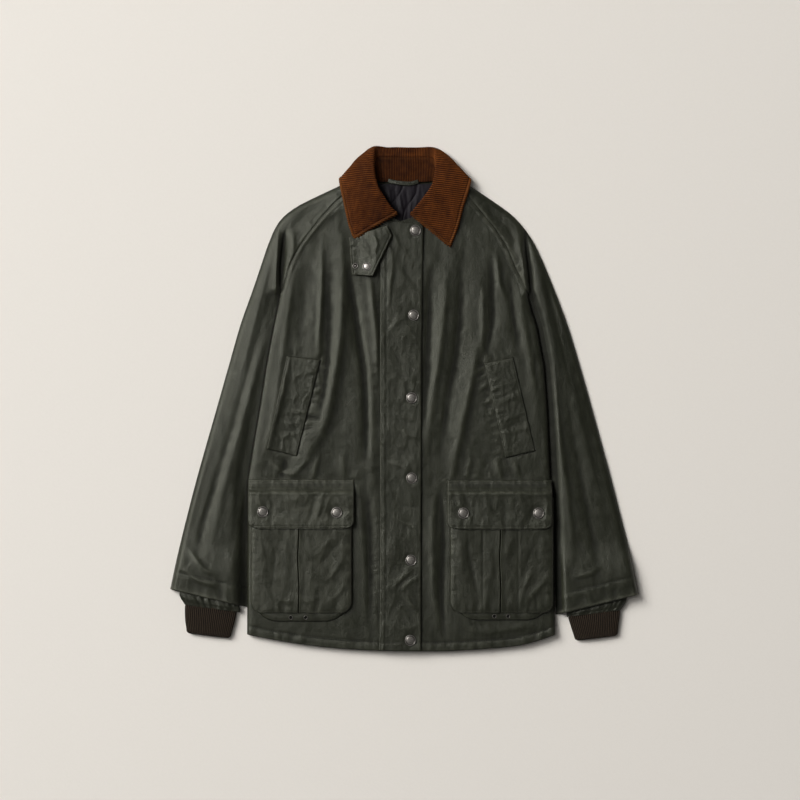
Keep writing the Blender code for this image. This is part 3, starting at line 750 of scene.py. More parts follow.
def make_front(side):
    heights = np.concatenate([np.arange(332, LEVEL_Y, -2.5), np.full(40, LEVEL_Y)])
    starts = np.stack([front_inner_x(side, heights) + PANEL_GAP * SIGN[side], heights], axis=1)
    ends = np.stack([body_edge_x(side, heights) - PANEL_GAP * SIGN[side], heights], axis=1)
    x, y = row_grid(starts, ends, 86, (False, True))
    to_hem = np.linspace(0, 1, 40)[:, None]
    y[-40:] = LEVEL_Y + (hem_y(x[-40:]) - LEVEL_Y) * to_hem
    x, y = upward(x, y)
    z = front_top(x, y)
    wear_and_painted_light = seam_wear(x, y) + 0.5 * hem_wear(x, y)
    lay_panel("cloth_front_" + side, "front_" + side, x, y, z, wear_and_painted_light)


def sleeve_rows(side):
    """Evenly spaced starts on the body edge and ends on the outer edge of the sleeve."""
    steps = smooth_path([(row[0], 0) for row in SLEEVES[side]], 3)[:, 0]
    inner = np.stack([body_edge_x(side, steps), steps], axis=1)
    outer = OUTER_PATH[side]
    run = running((steps_along(inner) + steps_along(outer)) / 2)
    even = np.linspace(0, run[-1], int(run[-1] / 2.4))
    return sampled(inner, run, even), sampled(outer, run, even)


SLEEVE_GRAIN = {"right": -16.0, "left": 16.0}


def sleeve_top(side, x, y):
    raglan = [SEAM_PATHS[SIDES.index(side)]]
    return panel_top(x, y) + seam_relief(x, y, raglan) + sleeve_hem_relief(side, x, y)


def make_sleeve(side):
    starts, ends = sleeve_rows(side)
    starts += np.array([PANEL_GAP * SIGN[side], 0])
    x, y = row_grid(starts, ends, 54, (True, True))
    x, y = upward(x, y)
    z = np.maximum(sleeve_top(side, x, y), 0.5)
    wear_and_painted_light = seam_wear(x, y) + 0.6 * np.exp(-((sleeve_hem_distance(side, x, y) - 2) / 3) ** 2)
    lay_panel("cloth_sleeve_" + side, f"sleeve_{side}_front", x, y, z, wear_and_painted_light,
              SLEEVE_GRAIN[side])


def back_relief(x, y):
    """Under side: nearly flat, with shallow creases pressed into it."""
    press = 0.35 * crumple(x, y, 34, 71) + 0.25 * crumple(x, y, 13, 72)
    long_folds = ease(np.abs(noise(x / 60, y / 240, 73)) * 2.2)
    return 0.25 + 0.5 * press + 0.35 * (1 - long_folds)


def make_back():
    heights = np.concatenate([np.arange(336, LEVEL_Y, -6.0), np.full(24, LEVEL_Y)])
    inset = 3.5 * ease((ARMPIT_Y - heights) / 30)
    starts = np.stack([body_edge_x("right", heights) + BACK_GAP + inset, heights], axis=1)
    ends = np.stack([body_edge_x("left", heights) - BACK_GAP - inset, heights], axis=1)
    x, y = row_grid(starts, ends, 76, (False, False))
    y[-24:] = LEVEL_Y + (hem_y(x[-24:]) + 1.5 - LEVEL_Y) * np.linspace(0, 1, 24)[:, None]
    x, y = upward(x, y)
    z = back_relief(x, y) + neck_lift(x, y) + BACK_WALL
    lay_panel("cloth_back", "back", x, y, z, 0.3 * hem_wear(x, y), wall=BACK_WALL)
    for side in SIDES:
        make_sleeve_back(side)


def make_sleeve_back(side):
    starts, ends = sleeve_rows(side)
    starts, ends = starts[::2], ends[::2]
    across = ends - starts
    across = across / np.hypot(*across.T)[:, None]
    fold = ease((ARMPIT_Y - starts[:, 1:]) / 30)
    starts += across * (BACK_GAP + 3.5 * fold)
    ends -= across * 3.5
    x, y = row_grid(starts, ends, 30, (False, False))
    x, y = upward(x, y)
    z = back_relief(x, y) + neck_lift(x, y) + BACK_WALL
    lay_panel("cloth_sleeve_back_" + side, f"sleeve_{side}_back", x, y, z, 0 * x,
              SLEEVE_GRAIN[side], BACK_WALL)


def seam_wear(x, y):
    """Pale cloth along the seams, strongest on the raglan seam of the wearer's left."""
    total = np.zeros(np.shape(x))
    strength = [0.28, 0.75, 0.0, 0.15, 0.3, 0.2, 0.15, 0.3, 0.2, 0.2, 0.25]
    for number, (_, _, _, _, path) in enumerate(SEAM_PATHS):
        distance, share, side = nearest(path, x, y)
        run = share * path_length(path)
        patch = 0.55 + 0.6 * noise(run / 14, side * 2.1, 80 + number)
        total += strength[number] * patch * bell(distance - 2.5, 2.6)
    return np.clip(total, 0, 1)


def hem_wear(x, y):
    up = y - hem_y(x)
    patch = 0.5 + 0.7 * noise(x / 17, y / 80, 90)
    return np.clip(patch * bell(up - 1.5, 3.0), 0, 1)


for cloth_side in SIDES:
    make_front(cloth_side)
    make_sleeve(cloth_side)
make_back()


# ---- pieces that lie on the fronts -----------------------------------------------------------
# left x, right x, top y, bottom y, corner radius
POCKETS = {"right": (-238, -81, -153, -332, 18), "left": (70, 231, -153, -332, 18)}
GUSSETS = {"right": (-234, -86, -160, -344, 38), "left": (75, 226, -160, -342, 38)}
FLAPS = {"right": (-242, -78, -125, -200, 11), "left": (66, 229, -126, -201, 11)}
GUSSET_WIDTH = 17
PLEATS = {"right": [-164.0], "left": [148.0]}
PLEAT_LINES = {"right": [], "left": [121.0, 176.0]}
FLAP_SNAPS = {"right": [(-219, -175), (-105, -176)], "left": [(91, -177), (207, -177)]}
PLACKET_SNAPS = [(17, 260), (14, 129), (11, 1), (11, -123), (10, -250), (9, -374)]
PLACKET_LEFT = [(-391, -40), (-300, -38.5), (276, -38)]
PLACKET_RIGHT = [(-391, 26), (-300, 26), (153, 27), (269, 30)]

# welt corners: top inner, top outer, bottom inner, bottom outer
WELTS = {
    "right": ((-130, 60), (-182, 66), (-167, -89), (-213, -78)),
    "left": ((123, 55), (168, 64), (156, -92), (202, -81)),
}

# throat latch: left x, left y, right x, right y of each row from under the collar to its end
LATCH = [(-86, 249, -27, 268), (-85, 236, -19, 252), (-84, 221, -29, 231), (-83, 206, -39, 210),
         (-81, 191, -49, 189)]
LATCH_LIFT = 5.2


PLACKET_FOLDS = own_folds([
    (1.5, 4, [(-22, 262), (-12, 246), (-8, 236), (4, 232)]),
    (1.2, 4, [(-27, 244), (-20, 226), (-19, 196), (-24, 172)]),
    (1.3, 3.5, [(-20, 196), (-22, 168), (-24, 142)]),
    (-0.9, 5, [(-8, 214), (8, 186), (22, 170)]),
    (1.0, 4, [(-26, 100), (-14, 116), (2, 128)]),
    (0.9, 5, [(4, 112), (16, 96), (26, 92)]),
    (-0.8, 5, [(-20, 80), (-4, 54), (16, 44)]),
    (1.0, 5, [(-16, 40), (-4, 26), (2, 10)]),
    (1.1, 4, [(-12, -22), (0, -30), (12, -34)]),
    (1.0, 4, [(-6, -48), (6, -58), (22, -60)]),
    (-0.9, 4, [(-24, -70), (-2, -84), (20, -86)]),
    (1.2, 4, [(-20, -100), (-2, -106), (8, -116)]),
    (-1.1, 5, [(-26, -150), (0, -166), (24, -168)]),
    (1.3, 4, [(-25, -176), (-12, -186), (6, -196), (22, -200)]),
    (0.9, 6, [(-18, -206), (-14, -228), (-16, -244)]),
    (1.5, 5.0, [(-20, -296), (-8, -282), (2, -272), (10, -268)]),
    (1.2, 4.0, [(-4, -298), (6, -286), (16, -280), (24, -276)]),
    (-0.9, 3.5, [(-12, -292), (0, -282), (10, -276)]),
    (1.5, 3.5, [(4, -306), (10, -318), (20, -324)]),
    (1.1, 5, [(-24, -318), (-8, -326), (6, -336)]),
    (0.9, 5, [(-22, -350), (0, -356), (22, -350)]),
])
POCKET_FOLDS = {
    "right": own_folds([
        (1.6, 7, [(-222, -226), (-216, -250), (-220, -278)]),
        (-1.4, 6, [(-204, -214), (-200, -250), (-206, -296)]),
        (1.1, 8, [(-184, -214), (-182, -250), (-186, -290)]),
        (1.3, 5, [(-198, -308), (-186, -314), (-172, -313)]),
        (1.2, 5, [(-156, -313), (-144, -313), (-130, -306)]),
        (1.5, 6, [(-92, -238), (-104, -262), (-122, -284)]),
        (-1.3, 6, [(-98, -216), (-116, -242), (-136, -262)]),
        (1.2, 6, [(-112, -214), (-126, -232), (-142, -244)]),
        (1.2, 5, [(-90, -286), (-104, -304), (-120, -316)]),
    ]),
    "left": own_folds([
        (1.8, 7, [(86, -216), (88, -246), (94, -276)]),
        (-1.8, 6, [(96, -210), (102, -250), (112, -296), (116, -322)]),
        (1.2, 8, [(132, -214), (134, -260), (130, -310)]),
        (2.2, 8, [(166, -212), (160, -234), (156, -250)]),
        (-1.5, 8, [(206, -216), (190, -254), (176, -300)]),
        (1.9, 6, [(224, -272), (210, -290), (196, -306), (186, -320)]),
        (1.5, 5, [(196, -268), (186, -290), (180, -314)]),
        (1.1, 6, [(218, -214), (212, -236), (214, -256)]),
    ]),
}
FLAP_FOLDS = {
    "right": own_folds([
        (1.5, 5, [(-228, -148), (-222, -166), (-226, -184)]),
        (-1.3, 5, [(-208, -146), (-204, -166), (-206, -192)]),
        (1.4, 9, [(-182, -146), (-178, -156), (-152, -152), (-140, -146)]),
        (-1.2, 5, [(-137, -146), (-142, -170), (-150, -194)]),
        (1.3, 5, [(-126, -148), (-131, -170), (-138, -192)]),
        (1.1, 5, [(-112, -146), (-118, -160), (-124, -178)]),
        (1.0, 5, [(-90, -150), (-86, -170), (-88, -190)]),
    ]),
    "left": own_folds([
        (1.6, 4, [(83, -146), (86, -164), (97, -176), (104, -192)]),
        (-1.2, 4, [(92, -146), (97, -160), (106, -172)]),
        (1.0, 7, [(124, -150), (130, -172), (126, -194)]),
        (-0.9, 8, [(150, -150), (156, -172), (152, -194)]),
        (1.0, 7, [(178, -150), (186, -166), (182, -190)]),
        (-1.0, 5, [(196, -146), (199, -164), (194, -190)]),
        (1.0, 4, [(216, -148), (220, -166), (216, -190)]),
    ]),
}
WELT_FOLDS = {
    "right": own_folds([
        (1.1, 5, [(-136, 52), (-146, 40), (-160, 36)]),
        (1.0, 5, [(-152, 52), (-158, 40), (-172, 30)]),
        (1.2, 5, [(-152, -16), (-166, -22), (-182, -20)]),
        (1.2, 5, [(-158, -34), (-172, -40), (-190, -38)]),
        (1.4, 5, [(-162, -54), (-178, -56), (-198, -64)]),
        (-1.0, 5, [(-160, -46), (-176, -50), (-194, -52)]),
        (0.9, 7, [(-158, 10), (-172, 0), (-188, 2)]),
    ]),
    "left": own_folds([
        (1.1, 4, [(128, 46), (138, 40), (150, 46)]),
        (1.2, 5, [(134, 10), (150, 20), (168, 24)]),
        (1.3, 5, [(139, -12), (156, -4), (176, 4)]),
        (-1.0, 4, [(138, -4), (154, 4), (172, 12)]),
        (1.3, 5, [(146, -38), (164, -30), (184, -22)]),
        (1.2, 5, [(150, -58), (168, -52), (188, -46)]),
        (-0.9, 4, [(148, -48), (166, -42), (186, -34)]),
    ]),
}
LATCH_FOLDS = own_folds([
    (1.0, 5, [(-72, 240), (-60, 228), (-52, 214)]),
    (1.1, 4, [(-48, 252), (-42, 240), (-46, 226)]),
    (-0.9, 4, [(-62, 246), (-54, 234), (-50, 222)]),
])


def supported_top(x, y):
    """Panel height under a piece that bridges the fold at the side of the body."""
    inner = np.clip(x, body_edge_x("right", y) + 10, body_edge_x("left", y) - 10)
    return 0.35 * panel_top(x, y) + 0.65 * panel_top(inner, y)


def closed_path(x, y):
    """Outline of a grid in plan, from its first corner round to it again."""
    edge_x = np.concatenate([x[0], x[1:, -1], x[-1, -2::-1], x[-2::-1, 0]])
    edge_y = np.concatenate([y[0], y[1:, -1], y[-1, -2::-1], y[-2::-1, 0]])
    keep = np.hypot(np.diff(edge_x), np.diff(edge_y)) > 0.2
    keep = np.append(keep, True)
    return np.stack([edge_x[keep], edge_y[keep]], axis=1)


def thinned(path, step):
    return np.concatenate([path[:-1:step], path[-1:]])


def edge_field(x, y, path, pitch, seed):
    """Distance from a stitched edge and a ripple that runs along it."""
    distance, share, _ = nearest(path, x, y)
    run = share * path_length(path)
    ripple = noise(run / pitch, distance / 30, seed)
    ripple += 0.6 * noise(run / pitch * 1.9, distance / 22, seed + 1)
    return distance, ripple


def turned_edge(distance, ripple, inset, pucker, reach, drop=1.0):
    """Edge that rolls down, its row of stitches, and the puckers beside them."""
    relief = -drop * (1 - rolled(distance / 1.8))
    relief -= 0.45 * bell(distance - inset, 0.9)
    swell = bell(distance, reach) * (0.35 + 0.65 * ease(distance / 3))
    return relief + pucker * ripple * swell


def edge_wear(distance, ripple, amount):
    worn = bell(distance - 0.8, 1.3) + 0.5 * bell(distance - 4, 2)
    return np.clip(amount * worn * (0.6 + 0.8 * ripple), 0, 1)


def grid_between(segments, across, along):
    """Grid through straight rows, evenly resampled along the rows and between them."""
    starts, ends = [np.array([row[end] for row in segments], float) for end in (0, 1)]
    middle = (starts + ends) / 2
    run = running(steps_along(middle))
    even = np.linspace(0, run[-1], max(int(run[-1] / along), 6))
    share = np.linspace(0, 1, across)
    starts, ends = sampled(starts, run, even), sampled(ends, run, even)
    x = starts[:, :1] + (ends[:, :1] - starts[:, :1]) * share
    y = starts[:, 1:] + (ends[:, 1:] - starts[:, 1:]) * share
    return upward(x, y)


def gathered_share(across, width, lines):
    """Even shares of a row's width, with close columns at each line."""
    share = np.linspace(0, 1, across)
    for line in lines:
        share = share[np.abs(share * width - line) > 3.2]
        near = line + np.array([-2.8, -2.0, -1.4, -1.0, -0.65, -0.3, 0, 0.3, 0.65, 1.0, 1.4, 2.0,
                                2.8])
        share = np.sort(np.concatenate([share, near / width]))
    return share


def rounded_grid(left, right, top, bottom, radius, across, along, bow=0.0, lines=()):
    """Grid of a flat piece whose two lower corners are round."""
    angles = np.radians(np.linspace(0, 86, 13))
    straight = np.arange(top, bottom + radius, -along)
    heights = np.concatenate([straight, bottom + radius - radius * np.sin(angles)])
    inset = np.concatenate([0 * straight, radius * (1 - np.cos(angles))])
    share = gathered_share(across, right - left, [line - left for line in lines])
    x = (left + inset)[:, None] + (right - left - 2 * inset)[:, None] * share
    y = np.repeat(heights[:, None], len(share), axis=1)
    y -= bow * np.sin(np.pi * share) * ((top - y) / (top - bottom))
    return upward(x, y)


def lay_cloth(name, x, y, z, wear_and_painted_light, nodes, wall=1.5, degrees=0.0):
    uv = turned(x, y, degrees)
    mesh = grid_mesh(name, x, y, z, uv, {"wear_and_painted_light": np.clip(wear_and_painted_light, 0, 1)})
    piece = add_piece(name, mesh, WAXED, nodes)
    thicken(piece, wall)


def pressed(relief, x, y, snaps, depth, width):
    """Relief with the ring that each snap's cap presses into the cloth."""
    for snap_x, snap_y in snaps:
        away = np.hypot(x - snap_x, y - snap_y)
        relief -= depth * bell(away - 8, width)
    return relief


def placket_relief(x, y):
    left, right = np.interp(y, *zip(*PLACKET_LEFT)), np.interp(y, *zip(*PLACKET_RIGHT))
    from_left, from_right, up = x - left, right - x, y - hem_y(x)
    rope = noise(y / 4.6 + from_left / 7, from_left / 12, 31)
    relief = 0.55 * rope * bell(from_left - 5.5, 4.5)
    for stitch_row in PLACKET_ROWS:
        relief -= 0.4 * bell(from_left - stitch_row, 0.9)
    relief = relief - 1.5 * (1 - rolled(from_left / 1.1)) - 0.7 * (1 - rolled(from_right / 2.0))
    relief += 0.9 * noise(y / 34, x / 50, 32) * ease(from_left / 16) / 1.3
    relief = relief + 0.4 * crumple(x, y, 15, 33) + 0.5 * fold_relief(x, y, PLACKET_FOLDS)
    relief -= 0.5 * bell(up - HEM_STITCH, 1.2)
    relief -= 0.6 * bell(y - 83, 0.9) * ease((x - 2) / 6)
    return pressed(relief, x, y, PLACKET_SNAPS, 0.5, 3.2)


def placket_top(x, y):
    x, y = np.asarray(x, float), np.asarray(y, float)
    lying = panel_top(x, y) + 2.4 + placket_relief(x, y)
    return np.maximum(lying, front_top(x, y) + 1.9)


def make_placket():
    segments = [((-38, 277), (29, 270))]
    for y in [262, 200, 80, -40, -160, -280, -340]:
        segments.append(((np.interp(y, *zip(*PLACKET_LEFT)), y),
                         (np.interp(y, *zip(*PLACKET_RIGHT)), y)))
    segments.append(((-40, hem_y(-40)), (26, hem_y(26))))
    x, y = grid_between(segments, 42, 2.1)
    z = placket_top(x, y)
    distance, ripple = edge_field(x, y, thinned(closed_path(x, y), 6), 9, 34)
    # pale worn edges, and a painted highlight on the crests of the placket's folds
    wear_and_painted_light = edge_wear(distance, ripple, 0.08) + 0.35 * ease((fold_relief(x, y, PLACKET_FOLDS)
                                                          - 1.2) / 2)
    lay_cloth("cloth_placket", x, y, z, wear_and_painted_light, ["placket"])


def welt_path(side):
    top_in, top_out, low_in, low_out = WELTS[side]
    return np.array([top_in, top_out, low_out, low_in, top_in], float)


def welt_top(side, x, y):
    inner = np.array(WELTS[side][::2], float)
    distance, ripple = edge_field(x, y, welt_path(side), 8, 35)
    to_inner, along, _ = nearest(inner, x, y)
    pull = noise(along * 26, to_inner / 60, 36 + SIDES.index(side))
    relief = turned_edge(distance, ripple, 2.2, 0.25, 10, 0.9)
    relief += 0.6 * pull * bell(to_inner, 15) * ease(to_inner / 3)
    relief = relief + 0.5 * crumple(x, y, 17, 38) + 0.36 * fold_relief(x, y, WELT_FOLDS[side])
    return np.maximum(panel_top(x, y) + 1.9 + relief, front_top(x, y) + 1.3)


def make_welt(side):
    top_in, top_out, low_in, low_out = WELTS[side]
    x, y = grid_between([(top_in, top_out), (low_in, low_out)], 44, 1.5)
    z = welt_top(side, x, y)
    distance, ripple = edge_field(x, y, welt_path(side), 8, 35)
    lay_cloth("cloth_welt_" + side, x, y, z, edge_wear(distance, ripple, 0.25),
              ["welt_" + side], 1.2, 14.0 * -SIGN[side])


POCKET_PATHS, FLAP_PATHS = [{side: closed_path(*rounded_grid(*boxes[side], 30, 6.0))
                             for side in SIDES} for boxes in (POCKETS, FLAPS)]


def pleat_bend(y):
    """How far the slit of the box pleat wanders sideways."""
    return 1.3 * noise(y / 45, 0 * y, 48) + 0.6 * ease((-290 - y) / 40)


def pocket_top(side, x, y):
    bottom = POCKETS[side][3]
    distance, ripple = edge_field(x, y, POCKET_PATHS[side], 8.5, 44 + SIDES.index(side))
    crown = 1.6 * rolled(distance / 22) - 1.6
    relief = crown + turned_edge(distance, ripple, POCKET_STITCH, 0.45, 11, 1.8)
    low = ease((bottom + 46 - y) / 46)
    relief += 0.8 * low * noise(x / 11, y / 34, 46)
    relief = relief + 0.4 * crumple(x, y, 20, 47) + 0.42 * fold_relief(x, y, POCKET_FOLDS[side])
    for pleat in PLEATS[side]:
        away = np.abs(x - pleat - pleat_bend(y))
        relief = relief - 2.6 * np.exp(-(away / 0.75) ** 4) + 0.5 * bell(away, 5)
    for line in PLEAT_LINES[side]:
        relief -= 0.45 * bell(x - line, 1.1)
    return supported_top(x, y) + POCKET_LIFT + 1.8 + relief


def make_pocket(side):
    x, y = rounded_grid(*POCKETS[side], 96, 1.9, 0.0, PLEATS[side])
    x += pleat_bend(y) * bell(x - PLEATS[side][0], 12)
    z = pocket_top(side, x, y)
    distance, ripple = edge_field(x, y, POCKET_PATHS[side], 8.5, 44 + SIDES.index(side))
    wear_and_painted_light = edge_wear(distance, ripple, 0.2)
    # painted highlight on the crests of the pocket's folds
    wear_and_painted_light += 0.2 * ease((fold_relief(x, y, POCKET_FOLDS[side]) - 1.4) / 2.4)
    # painted light: the wearer's right pocket is painted paler all over, for the stronger light on
    # that side
    wear_and_painted_light += {"right": 0.14, "left": 0.03}[side]
    lay_cloth("cloth_pocket_" + side, x, y, z, wear_and_painted_light, ["pocket_" + side])


def make_gusset(side):
    """U-shaped bellows strip under the pocket, with its lower edge rolled down."""
    left, right, top, bottom, radius = GUSSETS[side]
    stations = [((left, y), (1, 0)) for y in np.arange(top, bottom + radius, -3.0)]
    corner = np.array((left + radius, bottom + radius))
    for angle in np.radians(np.linspace(0, 90, 15)):
        out = np.array((-math.cos(angle), -math.sin(angle)))
        stations.append((tuple(corner + out * radius), tuple(-out)))
    middle = np.arange(left + radius + 3, (left + right) / 2, 3.0)
    stations += [((x, bottom), (0, 1)) for x in middle]
    stations += [((left + right - x, y), (-dx, dy)) for (x, y), (dx, dy) in stations[::-1]]
    edge = np.array([station[0] for station in stations])
    inward = np.array([station[1] for station in stations])
    across = np.linspace(GUSSET_WIDTH, 0, 14)
    x = edge[:, :1] + inward[:, :1] * across
    y = edge[:, 1:] + inward[:, 1:] * across
    run = running(steps_along(edge))[:, None]
    ripple = noise(run / 13 + 0 * across, across / 40 + 0 * run, 51)
    lift = 1.5 * rolled(across / 4.5) + 0.35 * ripple - 0.35 * bell(across - 3, 1)
    z = supported_top(x, y) + 0.5 + lift
    wear_and_painted_light = np.clip(0.2 * bell(across - 1.5, 1.5) * (1 + ripple), 0, 1)
    uv = (run + 0 * across, across + 0 * run)
    mesh = grid_mesh("cloth_gusset_" + side, x, y, z, uv, {"wear_and_painted_light": wear_and_painted_light})
    piece = add_piece("cloth_gusset_" + side, mesh, WAXED,
                      ["pocket_gusset_" + side])
    thicken(piece, 1.2, 1)


def gusset_top(x, y):
    return supported_top(x, y) + 0.5 + 1.5 + 1.2


def flap_top(side, x, y):
    top, bottom = FLAPS[side][2:4]
    distance, ripple = edge_field(x, y, FLAP_PATHS[side], 8.0, 54 + SIDES.index(side))
    below = ease((-131 - y) / 17)
    relief = turned_edge(distance, ripple, FLAP_STITCH, 0.15 + 0.4 * below, 9, 1.2)
    band = ease((top - y) / 3) * (1 - ease((top - 17 - y) / 5))
    relief += 0.22 * band * noise(x / 5.2, y / 40, 56)
    second = top - FLAP_BAND + 1.2 * noise(x / 21, 0 * x, 57)
    relief -= 0.6 * bell(y - second, 1.0)
    relief += 0.45 * bell(y - second + 4.5, 3.2)
    relief += 0.45 * crumple(x, y, 18, 58)
    relief += 0.5 * below * fold_relief(x, y, FLAP_FOLDS[side])
    relief = pressed(relief, x, y, FLAP_SNAPS[side], 0.7, 4)
    lift = 1.8 + (FLAP_LIFT - 0.2) * below
    free = 1.3 * ease((bottom + 26 - y) / 26)
    return supported_top(x, y) + lift + free + relief


def make_flap(side):
    x, y = rounded_grid(*FLAPS[side], 108, 1.6, 1.0)
    z = flap_top(side, x, y)
    distance, ripple = edge_field(x, y, FLAP_PATHS[side], 8.0, 54 + SIDES.index(side))
    # pale worn edges; the wearer's right flap is also painted paler all over, painted light as on
    # the pockets
    wear_and_painted_light = edge_wear(distance, ripple, 0.3) + {"right": 0.24, "left": 0.02}[side]
    second = FLAPS[side][2] - 19.0
    bare = {"right": 0.25, "left": 1.0}[side]
    inner = ease((x - FLAPS[side][0] - 42) / 12) * ease((FLAPS[side][1] - 40 - x) / 10)
    rubbed = bell(y - second, 1.3) * ease(0.5 + 1.6 * noise(x / 7, 0 * x, 59))
    wear_and_painted_light += bare * inner * rubbed
    lay_cloth("cloth_flap_" + side, x, y, z, wear_and_painted_light, ["flap_" + side])


def latch_path():
    rows = np.array(LATCH, float)
    left, right = rows[:, :2], rows[::-1, 2:]
    return np.concatenate([left, right, left[:1]])


def latch_top(x, y):
    distance, ripple = edge_field(x, y, latch_path(), 6.5, 62)
    relief = turned_edge(distance, ripple, 3.2, 0.55, 8, 1.0)
    relief = relief + 0.4 * crumple(x, y, 14, 63) + 0.8 * fold_relief(x, y, LATCH_FOLDS)
    lift = 3.0 + LATCH_LIFT * ease((x + 74) / 30) + 1.8 * ease((222 - y) / 30)
    over = np.where(x > -40, placket_top(x, y) + 2.0, 0.0)
    return np.maximum(panel_top(x, y) + lift + relief, over)


def make_latch():
    segments = [((x0, y0), (x1, y1)) for x0, y0, x1, y1 in LATCH]
    x, y = grid_between(segments, 54, 1.3)
    z = latch_top(x, y)
    distance, ripple = edge_field(x, y, latch_path(), 6.5, 62)
    lay_cloth("cloth_latch", x, y, z, edge_wear(distance, ripple, 0.5), ["throat_latch"],
              1.5)


make_placket()
make_latch()
for cloth_side in SIDES:
    make_welt(cloth_side)
    make_gusset(cloth_side)
    make_pocket(cloth_side)
    make_flap(cloth_side)


# ---- collar ----------------------------------------------------------------------------------
# sections from the centre of the back to the front end of a leaf, wearer's right:
# lower edge of the stand, seam of stand and fall, roll, middle of the fall, edge of the fall
COLLAR_RIGHT = [
    ((-24, 335, 7.9), (-24, 374, 9.4), (-25, 389, 10.0), (-29, 371, 0.3), (-34, 318, 0.2)),
    ((-44, 337, 8.4), (-42, 373, 10.4), (-45, 390, 12.0), (-58, 377, 0.9), (-66, 320, 0.2)),
    ((-50, 343, 9.4), (-46, 365, 13.0), (-50, 379, 17.0), (-79, 366, 8.0), (-89, 329, 0.3)),
    ((-52, 341, 11.4), (-47, 350, 15.0), (-50, 360, 20.5), (-83, 354, 16.0), (-102, 341, 7.0)),
    ((-55, 328, 13.4), (-45, 334, 17.0), (-47, 341, 23.5), (-75, 336, 20.5), (-100, 327, 14.4)),
    ((-50, 314, 13.4), (-40, 320, 17.5), (-42, 324, 24.5), (-71, 313, 20.5), (-94, 299, 14.4)),
    ((-41, 301, 13.2), (-31, 307, 17.5), (-33, 308, 23.5), (-64, 291, 19.5), (-88, 272, 13.6)),
    ((-31, 291, 12.6), (-21, 295, 16.5), (-23, 294, 21.5), (-54, 276, 18.0), (-82, 254, 13.0)),
    ((-22, 284, 12.4), (-13, 287, 16.0), (-14, 283, 19.5), (-46, 265, 17.5), (-78, 245, 12.8)),
]
COLLAR_LEFT = [
    ((24, 335, 7.9), (24, 374, 9.4), (25, 389, 10.0), (29, 371, 0.3), (34, 318, 0.2)),
    ((45, 337, 8.4), (43, 373, 10.4), (45, 388, 12.0), (58, 376, 0.9), (66, 320, 0.2)),
    ((51, 343, 9.4), (47, 365, 13.0), (50, 377, 17.0), (79, 365, 8.0), (89, 329, 0.3)),
    ((53, 341, 11.4), (48, 350, 15.0), (51, 360, 20.5), (84, 353, 16.0), (103, 340, 7.0)),
    ((56, 328, 13.4), (46, 334, 17.0), (48, 342, 23.5), (76, 334, 20.5), (101, 325, 14.4)),
    ((51, 314, 13.4), (41, 321, 17.5), (42, 325, 24.5), (68, 310, 20.5), (92, 297, 14.4)),
    ((41, 301, 13.2), (31, 307, 17.5), (32, 310, 23.5), (60, 288, 19.5), (84, 268, 13.6)),
    ((30, 291, 12.6), (21, 296, 16.5), (22, 295, 21.5), (52, 271, 18.0), (77, 248, 13.0)),
    ((20, 284, 12.4), (11, 288, 16.0), (13, 281, 19.5), (40, 259, 17.5), (71, 233, 12.8)),
]
COLLAR_CENTRE = ((0, 334, 7.8), (0, 374, 9.2), (0, 388, 9.8), (0, 370, 0.3), (0, 317, 0.2))
WALE_PITCH = 3.0
WALE_HEIGHT = 0.7
COLLAR_STITCH = 5.2


def corduroy_cloth(name, painted_shade_factor):
    """Brown corduroy: pale pile on top of the wales, painted shade between them and painted light
    from its nap.
    """
    shading = Shading(name)
    solid = shading.solid_place()
    height = shading.attribute("wale")
    pile = shading.noise(solid, 900.0, 3.0, 0.6)
    brushed = shading.noise(solid, 38.0, 3.0, 0.55, 0.5)
    # random brushed tone of the pile, with the painted light and shade of the collar's nap
    # attribute
    pile_tone_and_painted_light = shading.math("ADD", shading.attribute("nap"), brushed)
    rich = shading.mix(shading.spread(pile_tone_and_painted_light, 0.60, 1.40, 0.0, 1.0),
                       tuple(painted_shade_factor * value for value in (0.050, 0.0130, 0.0026)),
                       tuple(painted_shade_factor * value for value in (0.200, 0.0590, 0.0125)))
    rich = shading.mix(shading.spread(pile, 0.35, 0.65, 0.35, 0.0), rich,
                       tuple(painted_shade_factor * value for value in (0.030, 0.0085, 0.0014)))
    # painted shade: near-black colour in the grooves between the wales
    colour = shading.mix(shading.spread(height, 0.4, 0.95, 0.0, 1.0), (0.006, 0.0015, 0.0004),
                         rich)
    wear_and_painted_light = shading.math("MULTIPLY", shading.attribute("wear_and_painted_light"), shading.spread(pile, 0.3, 0.7,
                                                                             0.5, 1.0))
    colour = shading.mix(wear_and_painted_light, colour, (0.190, 0.076, 0.020))
    normal = shading.bump(pile, 0.0005)
    roughness = shading.spread(brushed, 0.3, 0.7, 0.75, 0.9)
    return shading.finish(colour, roughness, normal, Sheen_Weight=0.06, Sheen_Roughness=0.35,
                          Sheen_Tint=(0.90, 0.45, 0.12), Specular_IOR_Level=0.08)


def even_rows(points, along, spacing):
    """The same surface with its rows evenly spaced along one of its columns."""
    run = running(np.linalg.norm(np.diff(along, axis=0), axis=1))
    even = np.linspace(0, run[-1], int(run[-1] / spacing) + 1)
    flat = points.reshape(len(points), -1)
    return sampled(flat, run, even).reshape(len(even), *points.shape[1:]), even


def surface_normals(points):
    along, across = np.gradient(points, axis=0), np.gradient(points, axis=1)
    normal = np.cross(across, along)
    return normal / np.maximum(np.linalg.norm(normal, axis=2, keepdims=True), 1e-9)


